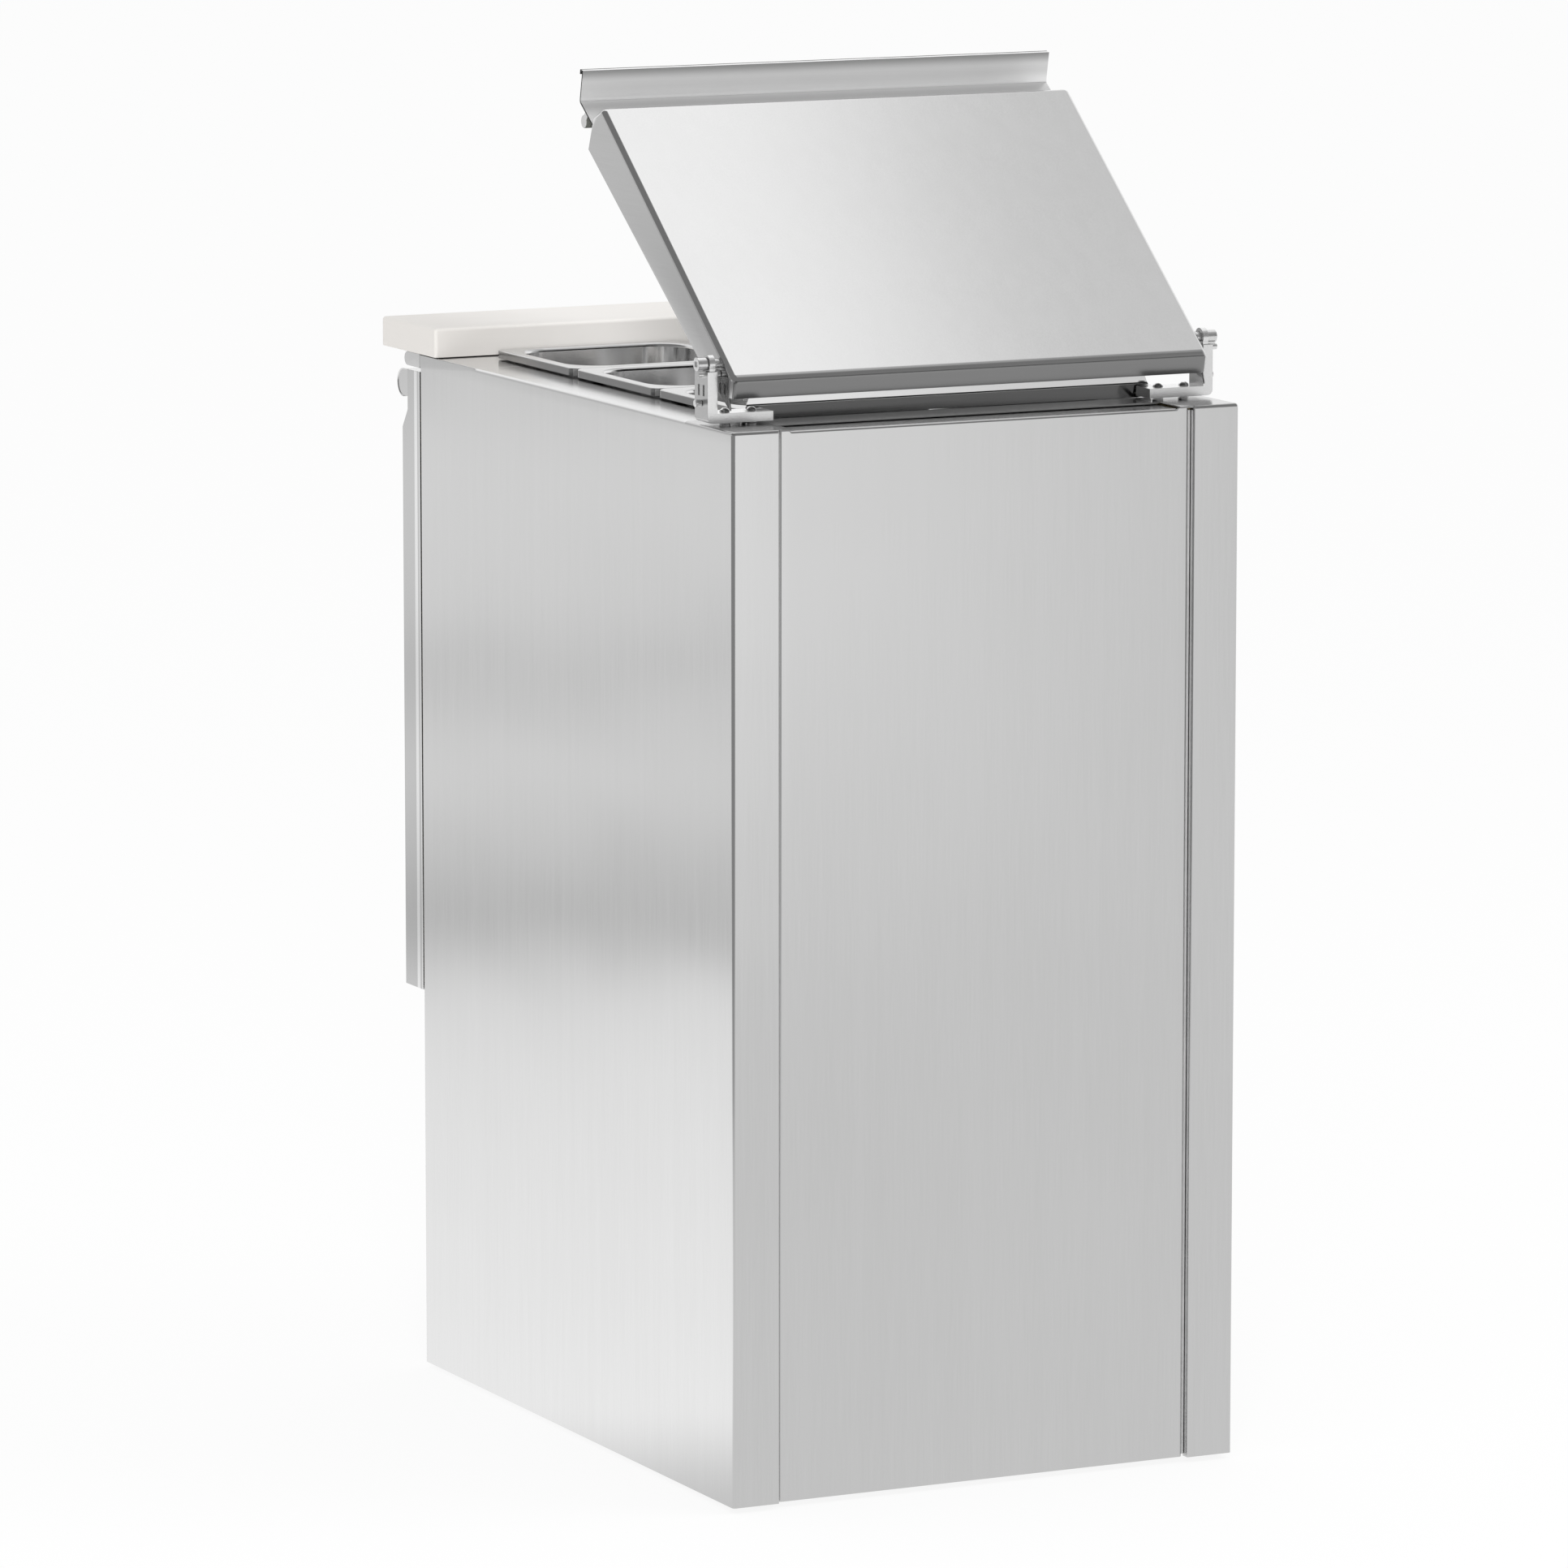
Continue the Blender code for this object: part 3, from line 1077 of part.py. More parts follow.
def control_pieces():
    """Control plate with a thermostat knob and a rocker switch."""
    back = CONTROL_FACE - BASE_SHEET
    plate = block(-CONTROL_WIDTH / 2, CONTROL_WIDTH / 2, back, CONTROL_FACE,
                  CONTROL_TOP - CONTROL_HEIGHT, CONTROL_TOP)
    shaft_hole = rod_y(KNOB_SIDE, CONTROL_MIDDLE, back - BASE_SHEET, CONTROL_FACE + BASE_SHEET,
                       KNOB_SHAFT_RADIUS + RUNNING_GAP)
    half_w = SWITCH_WIDTH / 2
    half_h = SWITCH_HEIGHT / 2
    window = block(-SWITCH_SIDE - half_w, -SWITCH_SIDE + half_w, back - BASE_SHEET,
                   CONTROL_FACE + BASE_SHEET, CONTROL_MIDDLE - half_h, CONTROL_MIDDLE + half_h)
    node(cut(plate, shaft_hole, window), "control_panel", black())
    seat = CONTROL_FACE + FIT
    knob_pivot = pivot_empty("thermostat_axis", KNOB_SIDE, seat, CONTROL_MIDDLE)
    profile = [(KNOB_SHAFT_RADIUS, -BASE_SHEET), (KNOB_SHAFT_RADIUS, 0.0), (KNOB_RADIUS, 0.0),
               (KNOB_RADIUS - FIT, KNOB_LENGTH / 2), (KNOB_RADIUS - KNOB_SHAFT_RADIUS, KNOB_LENGTH)]
    knob = lathe(profile, KNOB_SIDE, seat, CONTROL_MIDDLE, along_y=True)
    ridge = block(KNOB_SIDE - KNOB_SHAFT_RADIUS / 2, KNOB_SIDE + KNOB_SHAFT_RADIUS / 2,
                  seat + KNOB_LENGTH / 2, seat + KNOB_LENGTH + KNOB_SHAFT_RADIUS / 2,
                  CONTROL_MIDDLE, CONTROL_MIDDLE + KNOB_RADIUS - KNOB_SHAFT_RADIUS)
    node(union(knob, ridge), "thermostat_knob", black(), knob_pivot)
    switch_pivot = pivot_empty("power_switch_axis", -SWITCH_SIDE, seat, CONTROL_MIDDLE)
    rock_h = half_h - LIFT_GAP
    outline = [(seat - BASE_SHEET / 2, CONTROL_MIDDLE - rock_h), (seat + SWITCH_ROCK, CONTROL_MIDDLE - rock_h),
               (seat + SWITCH_ROCK / 2, CONTROL_MIDDLE), (seat + SWITCH_ROCK, CONTROL_MIDDLE + rock_h),
               (seat - BASE_SHEET / 2, CONTROL_MIDDLE + rock_h)]
    rocker = prism(outline, -SWITCH_SIDE - half_w + LIFT_GAP, -SWITCH_SIDE + half_w - LIFT_GAP, across)
    node(rocker, "power_switch", material("switch_green", (0.03, 0.25, 0.08), 0.35, 0.0), switch_pivot)


def build():
    side_panel(1, "side_panel_right")
    side_panel(-1, "side_panel_left")
    rear_panel()
    base_plate()
    machine_ceiling()
    feet()
    foam_insulation()
    inner_liner()
    chamber_sill()
    rear_ledge()
    rear_pan_rail()
    front_rail()
    pan_bars()
    food_pans()
    cutting_board()
    lid_pieces()
    for name, side in (("left", -1), ("right", 1)):
        hinge_bracket(side, f"hinge_bracket_{name}")
        hinge_fasteners(side, name)
    door_pieces()
    door_hinges()
    shelf_pieces()
    evaporator()
    condenser()
    fan_pieces()
    compressor()
    pipes()
    drip_tray()
    machine_grille()
    control_pieces()


build()
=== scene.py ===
# %% [markdown]
# # A chilled salad counter, from its frame to its finish
# The counter is sheet metal almost everywhere: folded panels, a folded lid and pressed pans. The frame
# already holds every piece at its real size. This lesson gives the pieces their folds, rolled edges and
# finishes, and stands the counter in a white studio. Each step says what the real piece is and why it
# is made that way.

# %% Load the frame
import json
import math

import bmesh
import bpy
from mathutils import Matrix, Vector


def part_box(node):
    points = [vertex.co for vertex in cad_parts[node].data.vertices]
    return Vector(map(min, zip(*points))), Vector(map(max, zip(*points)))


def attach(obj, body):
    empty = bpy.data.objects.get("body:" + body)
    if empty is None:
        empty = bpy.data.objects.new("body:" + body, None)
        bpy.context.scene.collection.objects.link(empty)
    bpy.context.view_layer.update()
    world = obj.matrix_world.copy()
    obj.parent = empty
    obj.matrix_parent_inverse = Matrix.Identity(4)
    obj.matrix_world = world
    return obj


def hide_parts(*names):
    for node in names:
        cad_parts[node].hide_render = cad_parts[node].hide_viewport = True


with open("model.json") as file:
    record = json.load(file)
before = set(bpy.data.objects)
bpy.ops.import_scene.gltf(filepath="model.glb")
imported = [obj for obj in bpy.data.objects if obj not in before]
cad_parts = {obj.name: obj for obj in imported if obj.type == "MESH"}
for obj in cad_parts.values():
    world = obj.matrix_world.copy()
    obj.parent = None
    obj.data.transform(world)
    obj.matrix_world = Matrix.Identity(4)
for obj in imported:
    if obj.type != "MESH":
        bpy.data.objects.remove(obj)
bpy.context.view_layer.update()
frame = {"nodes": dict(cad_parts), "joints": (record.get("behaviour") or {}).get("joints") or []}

# %% [markdown]
# ## Places taken from the frame
# Nothing is measured twice. The corners of a few nodes give the counter top, the cabinet's sides and
# the lid's hinge, and every later piece is placed from these.

# %% Read the main places
panel_low, panel_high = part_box("side_panel_right")
HALF = panel_high.x
REAR_Y = panel_high.y
FRONT_Y = panel_low.y
BOTTOM_Z = panel_low.z
TOP_Z = panel_high.z
LEDGE_EDGE = panel_low.x
SHEET = 0.0015
joints = {joint["name"]: joint for joint in frame["joints"]}
LID_PIVOT = Vector(joints["lid_hinge"]["pos_m"])
LID_TILT = math.radians(38.7)
LID_FRAME = Matrix.Translation(LID_PIVOT) @ Matrix.Rotation(-LID_TILT, 4, "X")
print("half width", round(HALF, 4), "counter top", round(TOP_Z, 4), "lid pivot", tuple(LID_PIVOT))

# %% [markdown]
# ## Camera
# The picture was taken from behind and to one side with a long lens, a little above the lid. A long
# lens keeps the cabinet's uprights almost parallel. The place and the lens were solved from the
# cabinet's straight edges.

# %% Make the camera
SENSOR_MM = 36.0
LENS_MM = 217.06
CAMERA_AT = (3.5084, 7.1463, 1.8052)
CAMERA_TURN = math.radians(153.945)
CAMERA_PITCH = math.radians(9.036)

studio = bpy.context.scene
lens = bpy.data.cameras.new("camera")
lens.sensor_width = SENSOR_MM
lens.lens = LENS_MM
camera = bpy.data.objects.new("camera", lens)
camera.location = CAMERA_AT
camera.rotation_euler = (math.pi / 2 - CAMERA_PITCH, 0.0, CAMERA_TURN)
studio.collection.objects.link(camera)
bpy.context.scene.camera = camera
bpy.context.scene.view_settings.view_transform = "Standard"
print("camera", CAMERA_AT, "lens", LENS_MM)

# %% [markdown]
# ## Shader sums as Python
# A brushed finish is a sum of noises. Setting each Math node by hand hides that sum, so a small class
# wraps a socket and lets ordinary operators add the nodes.

# %% Wrap a socket
class Value:
    """A shader socket that takes part in ordinary sums."""

    def __init__(self, graph, socket):
        self.graph = graph
        self.socket = socket

    def calculate(self, operation, *others):
        """Add a Math node of any kind."""
        sockets = dict(enumerate((self,) + others))
        return self.graph.node("ShaderNodeMath", {"operation": operation}, sockets)

    def __add__(self, other):
        return self.calculate("ADD", other)

    def __sub__(self, other):
        return self.calculate("SUBTRACT", other)

    def __rsub__(self, other):
        return self * -1.0 + other

    def __mul__(self, other):
        return self.calculate("MULTIPLY", other)

    __radd__ = __add__
    __rmul__ = __mul__


print("sockets take part in sums")

# %% [markdown]
# ## Node trees
# Each finish, the floor and the sky are trees of nodes. Linked line by line, they would hide what they
# do. So one method adds any node with its settings and links, and a few short ones name what comes
# again: a soft step, a mix of colours, a coordinate and the kinds of ray.

# %% Wrap a node tree
MIX_FACTOR, MIX_FIRST, MIX_SECOND = 0, 6, 7
MIX_COLOUR = 2


def grey(level, warmth=0.0):
    """A neutral colour, or one a little warm or cool."""
    return (level * (1 + warmth), level, level * (1 - warmth), 1.0)


def set_stops(ramp, stops):
    """Give a colour ramp its grey stops."""
    ramp.interpolation = "EASE"
    while len(ramp.elements) < len(stops):
        ramp.elements.new(1.0)
    for element, (place, level) in zip(ramp.elements, stops):
        element.position = place
        element.color = grey(level)


class Graph:
    """A node tree, with one method that adds any node to it."""

    def __init__(self, tree):
        self.tree = tree

    def plug(self, socket, item):
        """Link a value to a socket, or set a plain number or colour on it."""
        if isinstance(item, Value):
            self.tree.links.new(item.socket, socket)
        else:
            socket.default_value = item

    def node(self, kind, settings=None, sockets=None, output=0):
        """Add a node, its settings first and then its sockets, and return one of its outputs."""
        made = self.tree.nodes.new(kind)
        for key, item in (settings or {}).items():
            if key == "stops":
                set_stops(made.color_ramp, item)
            else:
                setattr(made, key, item)
        for key, item in (sockets or {}).items():
            self.plug(made.inputs[key], item)
        return Value(self, made.outputs[output]) if made.outputs else None

    def smooth(self, value, low, high, start=0.0, end=1.0):
        """A soft step from start to end as the value goes from low to high."""
        sockets = {"Value": value, "From Min": low, "From Max": high, "To Min": start, "To Max": end}
        return self.node("ShaderNodeMapRange", {"interpolation_type": "SMOOTHSTEP"}, sockets)

    def blend(self, factor, first, second):
        """Mix two colours."""
        sockets = {MIX_FACTOR: factor, MIX_FIRST: first, MIX_SECOND: second}
        return self.node("ShaderNodeMix", {"data_type": "RGBA"}, sockets, MIX_COLOUR)

    def axis(self, letter, coordinates="Object"):
        """One object coordinate in metres, or one part of a direction in the sky."""
        where = self.node("ShaderNodeTexCoord", output=coordinates)
        return self.node("ShaderNodeSeparateXYZ", None, {"Vector": where}, letter)

    def rays(self):
        """Three values that are 1 for camera, glossy and transmission rays, and else 0."""
        kinds = ("Is Camera Ray", "Is Glossy Ray", "Is Transmission Ray")
        return [self.node("ShaderNodeLightPath", output=kind) for kind in kinds]


print("node trees are ready")

# %% [markdown]
# ## A finish
# A finish is one material with a Principled shader, and it also holds the name of a material slot of
# the record. Patterns are placed by object coordinates, because every piece keeps its place in its mesh.

# %% Make a finish
NOISE_ROUGHNESS = 0.55


class Finish(Graph):
    """A material of one record slot, and the patterns that such finishes share."""

    def __init__(self, slot, name, metallic=0.0):
        self.slot = slot
        self.material = bpy.data.materials.new(name)
        self.material.use_nodes = True
        super().__init__(self.material.node_tree)
        self.shader = self.tree.nodes["Principled BSDF"]
        self.set("Metallic", metallic)

    def set(self, socket, item):
        """Set or link one socket of the shader."""
        self.plug(self.shader.inputs[socket], item)

    def noise(self, scale, stretch=(1.0, 1.0, 1.0), detail=3.0):
        """Noise between 0 and 1, drawn out along the axes with a small stretch."""
        where = self.node("ShaderNodeTexCoord", output="Object")
        where = self.node("ShaderNodeMapping", None, {"Vector": where, "Scale": stretch})
        sockets = {"Vector": where, "Scale": scale, "Detail": detail, "Roughness": NOISE_ROUGHNESS}
        return self.node("ShaderNodeTexNoise", {"normalize": True}, sockets)

    def shade(self, factor, colour):
        """Blend the base colour towards another one where the factor is high."""
        base = Value(self, self.shader.inputs["Base Color"].links[0].from_socket)
        self.set("Base Color", self.blend(factor, base, colour))

    def bump(self, height, distance=1.0):
        """Feed a height to the shader's normal."""
        sockets = {"Height": height, "Strength": 1.0, "Distance": distance}
        self.set("Normal", self.node("ShaderNodeBump", None, sockets))


# %% [markdown]
# ## Brushed and polished steel
# The panels are stainless sheet with a fine satin grain. Up close the grain is thousands of short
# scratches, so the roughness and a very small bump follow a noise that is drawn out along the sheet's
# rolling direction. Thin sheet is never quite flat either: a second, very large noise bends the
# reflections a little. The pans are bright drawn steel, with streaks where the metal was pulled down.
# The lid's skirt, the rear ledge and the pan rims are painted darker: a painted reflection of the
# dark lid they mirror.

# %% Make the steel finishes
GRAIN_SCALE = 900.0
STREAK_SCALE = 70.0
CLOUD_SCALE = 5.0
WAVE_SCALE = 2.6
WAVE_STRETCH = (1.0, 1.0, 1.6)
GRAIN = 0.000006
FINE_GRAIN = 0.000004
WAVE = 0.0006
FLAT_WAVE = 0.0003


def make_steel(slot, name, level, rough, stretch, grain=GRAIN, wave=FLAT_WAVE, crown=0.0, metallic=1.0):
    """Satin or bright steel with its grain, its slight waviness and any crown across the width."""
    made = Finish(slot, name, metallic)
    fine = made.noise(GRAIN_SCALE, stretch, 2.0)
    broad = made.noise(STREAK_SCALE, stretch, 3.0)
    cloud = made.noise(CLOUD_SCALE, detail=2.0)
    tone = fine * 0.4 + broad * 0.3 + cloud * 0.3
    darker = grey(level * 0.975, 0.001)
    lighter = grey(level * 1.02)
    made.set("Base Color", made.blend(made.smooth(tone, 0.3, 0.7), darker, lighter))
    made.set("Roughness", fine * 0.04 + broad * 0.02 + (rough - 0.03))
    bend = made.noise(WAVE_SCALE, WAVE_STRETCH, 1.0)
    across = made.axis("X")
    made.bump(fine * grain + bend * wave - across * across * crown)
    return made


SATIN = "brushed_steel"
BRIGHT = "polished_steel"
STEEL = 0.76
LID_ROUGH = 0.11
LID_CROWN = 0.042
UPRIGHT = (1.0, 1.0, 0.02)
ACROSS = (0.02, 1.0, 1.0)
DEEP = (1.0, 0.02, 1.0)
brushed_upright = make_steel(SATIN, "brushed_upright", STEEL, 0.15, UPRIGHT, wave=0.0022)
brushed_rear = make_steel(SATIN, "brushed_rear", STEEL, 0.17, UPRIGHT, wave=WAVE)
brushed_across = make_steel(SATIN, "brushed_across", STEEL, 0.16, ACROSS, wave=WAVE)
brushed_deep = make_steel(SATIN, "brushed_deep", STEEL, 0.17, DEEP, wave=WAVE)
brushed_lid = make_steel(SATIN, "brushed_lid", STEEL, LID_ROUGH, DEEP, FINE_GRAIN, crown=LID_CROWN)
# The skirt's darker tone is painted shade, standing in for the dark things it mirrors.
skirt_painted_shade = make_steel(SATIN, "skirt_painted_shade", 0.30, 0.20, ACROSS)
# The ledge's darker tone is painted shade, standing in for the lid it mirrors.
ledge_painted_shade = make_steel(SATIN, "ledge_painted_shade", 0.56, 0.18, ACROSS)
polished = make_steel(BRIGHT, "polished_pan", 0.78, 0.13, (1.0, 1.0, 0.05), wave=0.0016)
# The flange and edge tones are painted shade, standing in for the dark lid over the pans.
pan_flange_painted_shade = make_steel(BRIGHT, "pan_flange_painted_shade", 0.60, 0.20, (1.0, 1.0, 0.3))
pan_edge_painted_shade = make_steel(BRIGHT, "pan_edge_painted_shade", 0.36, 0.20, (0.3, 0.3, 1.0))
bright_rail = make_steel(BRIGHT, "bright_rail", 0.84, 0.09, ACROSS, FINE_GRAIN)
zinc = make_steel("zinc_sheet", "zinc_sheet", 0.52, 0.38, (1.0, 1.0, 1.0), 0.00002, WAVE)
print("steel finishes made")

# %% [markdown]
# ## Cast, moulded and soft finishes
# The hinge brackets look cast and lightly blasted, so their grain has no direction. Rubber and plastic
# get a fine pebble and slight changes of gloss where they have been handled. One function serves all,
# because they differ only in tone, gloss and pebble.

# %% Make the other finishes
PEBBLE_SCALE = 400.0
BLAST_SCALE = 900.0
HANDLING_SCALE = 18.0
CAST_METAL = 0.95


def make_dull(name, first, second, rough, pebble, metallic=0.0, scale=PEBBLE_SCALE, slot=None):
    """A finish with two close tones and a fine pebble without direction."""
    made = Finish(slot or name, name, metallic)
    fine = made.noise(scale)
    cloud = made.noise(HANDLING_SCALE, detail=4.0)
    tone = fine * 0.5 + cloud * 0.5
    made.set("Base Color", made.blend(made.smooth(tone, 0.3, 0.7), first, second))
    made.set("Roughness", cloud * 0.16 + (rough - 0.08))
    made.bump(fine, pebble)
    return made


cast = make_dull("cast_bracket", grey(0.87), grey(0.95), 0.22, 0.00003, CAST_METAL, BLAST_SCALE)
# The bracket's side faces are painted darker: painted shade.
cast_painted_shade = make_dull("cast_painted_shade", grey(0.54), grey(0.62), 0.24, 0.00003, CAST_METAL, BLAST_SCALE,
                      "cast_bracket")
bolt_steel = make_dull("bolt_steel", grey(0.80), grey(0.90), 0.20, 0.00002, CAST_METAL, 1200.0,
                       "cast_bracket")
black_liner = make_dull("black_liner", grey(0.012), grey(0.020), 0.5, 0.00010, slot="black_plastic")
black_moulded = make_dull("black_moulded", grey(0.016), grey(0.028), 0.42, 0.00006, slot="black_plastic")
rubber_black = make_dull("rubber_black", grey(0.018), grey(0.032), 0.68, 0.00015)
rubber_grey = make_dull("rubber_grey", (0.14, 0.145, 0.13, 1.0), (0.19, 0.195, 0.18, 1.0), 0.5, 0.0001)
# The bumper ends are painted paler: a painted highlight.
rubber_painted_highlight = make_dull("rubber_painted_highlight", grey(0.50), grey(0.60), 0.5, 0.0001, slot="rubber_grey")
sealant = make_dull("sealant", grey(0.40), grey(0.48), 0.5, 0.0001, slot="rubber_grey")
foam = make_dull("insulation_foam", (0.72, 0.60, 0.34, 1.0), (0.86, 0.76, 0.50, 1.0), 0.9, 0.0008,
                 scale=260.0)
aluminium = make_dull("coil_aluminium", grey(0.62, -0.01), grey(0.76, -0.01), 0.34, 0.00005, 1.0)
coil_dark = make_dull("coil_dark", grey(0.05), grey(0.10), 0.45, 0.00005, 0.5)
motor_grey = make_dull("motor_grey", grey(0.20), grey(0.30), 0.42, 0.00008, 0.7)
compressor_black = make_dull("compressor_black", grey(0.012), grey(0.022), 0.35, 0.00012)
copper = make_dull("copper", (0.62, 0.27, 0.14, 1.0), (0.76, 0.38, 0.22, 1.0), 0.30, 0.00003, 1.0)
switch_green = make_dull("switch_green", (0.02, 0.30, 0.09, 1.0), (0.03, 0.38, 0.12, 1.0), 0.32,
                         0.00003)
print("dull finishes made")

# %% [markdown]
# ## Board finish
# The board is polyethylene: white with a little warmth, dull, and marked by fine knife strokes. It is
# greyer towards the near end, so its tone follows the width and not only noise.

# %% Make the board's finish
FAR_END_WHITE = (0.89, 0.865, 0.835, 1.0)
NEAR_END_WHITE = (0.735, 0.71, 0.68, 1.0)
STROKE_DEPTH = 0.00012


def make_board():
    """Polyethylene with a slight warmth and fine strokes across it."""
    made = Finish("white_board", "white_board")
    cloud = made.noise(14.0, detail=4.0)
    strokes = made.noise(160.0, (0.06, 1.0, 1.0), 2.0)
    # Greyer towards the board's near end.
    towards_near_end = made.smooth(made.axis("X") + cloud * 0.04, 0.08, 0.25)
    made.set("Base Color", made.blend(towards_near_end, FAR_END_WHITE, NEAR_END_WHITE))
    made.set("Roughness", cloud * 0.12 + strokes * 0.10 + 0.38)
    made.bump(strokes, STROKE_DEPTH)
    return made


white_board = make_board()
print("board finish made")

# %% [markdown]
# ## Studio floor
# Steel has almost no colour of its own: it shows the room. A white sweep of floor fills the picture,
# and what the steel mirrors is set by soft tones on that floor and in the sky.

# %% Make the floor
FLOOR_REACH = 40.0

bm = bmesh.new()
bmesh.ops.create_grid(bm, x_segments=1, y_segments=1, size=FLOOR_REACH)
mesh = bpy.data.meshes.new("floor")
bm.to_mesh(mesh)
bm.free()
floor = bpy.data.objects.new("floor", mesh)
studio.collection.objects.link(floor)
print("floor", FLOOR_REACH * 2, "m wide")

# %% [markdown]
# ## Floor tones
# An upright panel mirrors the floor: its foot mirrors the floor close by and its top the floor far
# away. So a row of tones along the floor gives the side panel its soft bands, from bottom to top. The
# rear panel mirrors the other half of the floor, which has one pale glow and a dark corner.

# %% Give the floor its tones
SIGHT_X, SIGHT_Y = -0.447, -0.894
RAMP_REACH = 12.0
SIDE_STOPS = [(0.0, 1.04), (0.069, 1.0), (0.1, 0.975), (0.133, 0.95), (0.172, 0.92), (0.218, 0.52),
              (0.262, 0.71), (0.31, 0.85), (0.380, 0.60), (0.436, 0.81), (0.61, 0.86), (0.655, 0.80),
              (0.70, 0.60)]
REAR_TONE = 0.71
REAR_GLOW = 0.27
CORNER_TONE = 0.25

floor_look = bpy.data.materials.new("floor")
floor_look.use_nodes = True
floor_look.node_tree.nodes.clear()
sweep = Graph(floor_look.node_tree)
floor_x = sweep.axis("X")
floor_y = sweep.axis("Y")
side_reach = floor_x * -SIGHT_X + floor_y * SIGHT_Y
rear_reach = side_reach * -1.0
rear_lateral = floor_x * -SIGHT_Y + floor_y * -SIGHT_X
along_ramp = side_reach * (1 / RAMP_REACH)
side_tone = sweep.node("ShaderNodeValToRGB", {"stops": SIDE_STOPS}, {"Fac": along_ramp})
rear_glow = sweep.smooth(rear_reach, 2.2, 6.0) * sweep.smooth(rear_lateral, -0.3, 0.6)
rear_tone = rear_glow * REAR_GLOW + REAR_TONE
behind = sweep.smooth(rear_reach, -0.2, 0.2)
mirrored = sweep.blend(behind, side_tone, rear_tone)
corner = sweep.smooth(rear_lateral, 1.2, 2.6)
mirrored = sweep.blend(corner, mirrored, grey(CORNER_TONE))
print("floor tones", len(SIDE_STOPS), "stops over", RAMP_REACH, "m")

# %% [markdown]
# ## What each ray sees of the floor
# The camera sees white with the counter's soft shadow on it, so a small share of the floor stays matt.
# Reflections see the tones. Other rays see a matt floor, which lights the counter from below.

# %% Show the floor
FLOOR_SHADOW = 0.12
MATT_FLOOR = 0.9

seen, glossy, through = sweep.rays()
shown = sweep.blend(glossy, grey(1.0), mirrored)
white = sweep.node("ShaderNodeEmission", None, {"Color": shown, "Strength": 1.0})
matt = sweep.node("ShaderNodeBsdfDiffuse", None, {"Color": grey(MATT_FLOOR)})
direct = seen * (1.0 - FLOOR_SHADOW) + glossy + through
surface = sweep.node("ShaderNodeMixShader", None, {0: direct, 1: matt, 2: white})
sweep.node("ShaderNodeOutputMaterial", None, {"Surface": surface})
floor_look.cycles.emission_sampling = "NONE"
floor.data.materials.append(floor_look)
print("floor shown with", FLOOR_SHADOW, "of its shadow")

# %% [markdown]
# ## Sky
# The camera sees a white sky. Steel sees a sky that is white near the horizon and has one soft bright
# half overhead, as from a large cloth, which gives the lid its slow change of tone. Behind the counter
# the sky darkens like a hall, and a dark wall on the near side draws the lid's bends as dark lines. A
# least tone keeps the raised lid from going black when it is seen from above.

# %% Make the sky
CLOTH_TONES = (0.70, 1.13)
HALL_STOPS = [(0.0, 1.0), (0.14, 0.52), (0.42, 0.44), (0.62, 0.20), (0.88, 0.26)]
WALL_DARKNESS = 0.80
NEAR_SIDE_TONE = 0.58
LEAST_TONE = 0.20
AMBIENT = 0.86

world = bpy.data.worlds.new("studio")
studio.world = world
world.use_nodes = True
world.cycles.sampling_method = "NONE"
world.node_tree.nodes.clear()
sky = Graph(world.node_tree)
aim_x, aim_y, aim_z = [sky.axis(letter, "Generated") for letter in "XYZ"]
overhead = sky.smooth(aim_x, -0.482, -0.412, *CLOTH_TONES)
cloth = sky.smooth(aim_z, 0.35, 0.75)
lit = cloth * overhead + (1.0 - cloth)
hall = sky.node("ShaderNodeValToRGB", {"stops": HALL_STOPS}, {"Fac": aim_y})
wall = sky.smooth(aim_x + aim_y * 0.6, -0.06, 0.12) * sky.smooth(aim_z, 0.08, 0.30)
near_side = sky.smooth(aim_x, 0.10, 0.40, 1.0, NEAR_SIDE_TONE)
room_tone = lit * near_side * hall * (1.0 - wall * WALL_DARKNESS)
mirrored_sky = room_tone.calculate("MAXIMUM", LEAST_TONE)
seen, glossy, through = sky.rays()
strength = seen + through + glossy * mirrored_sky + (1.0 - seen - glossy - through) * AMBIENT
backdrop = sky.node("ShaderNodeBackground", None, {"Color": grey(1.0), "Strength": strength})
sky.node("ShaderNodeOutputWorld", None, {"Surface": backdrop})
print("sky made, ambient", AMBIENT)

# %% [markdown]
# ## Lamps
# Three soft lamps light what isn't steel: two from above, and one low on the camera's side for the
# edge of the board. They stay out of the reflections, where a lamp would show as a hard white square.

# %% Hang the lamps
def lamp(name, place, aim_at, width, watts):
    """A soft lamp that does not show in reflections."""
    light = bpy.data.lights.new(name, "AREA")
    light.shape = "SQUARE"
    light.size = width
    light.energy = watts
    made = bpy.data.objects.new(name, light)
    made.location = place
    made.rotation_euler = (Vector(aim_at) - Vector(place)).to_track_quat("-Z", "Y").to_euler()
    made.visible_glossy = False
    studio.collection.objects.link(made)
    print(name, width, "m wide,", watts, "W")


lamp("key_lamp", place=(3.0, 2.6, 4.2), aim_at=(0.0, 0.0, 0.7), width=2.4, watts=12.0)
lamp("fill_lamp", place=(-3.2, 2.2, 3.4), aim_at=(0.0, 0.0, 0.6), width=2.4, watts=45.0)
lamp("board_lamp", place=(2.2, 4.4, 1.6), aim_at=(0.0, -0.2, 0.9), width=1.0, watts=115.0)

# %% [markdown]
# ## From a bmesh to a piece
# Every piece ends the same way: its mesh becomes an object at the origin, its rounded faces are
# smoothed and its flat ones kept flat, it takes a finish, it rides on its body and it stands for its
# frame nodes. A folded sheet gets its thickness from a modifier, so the folds stay easy to draw.

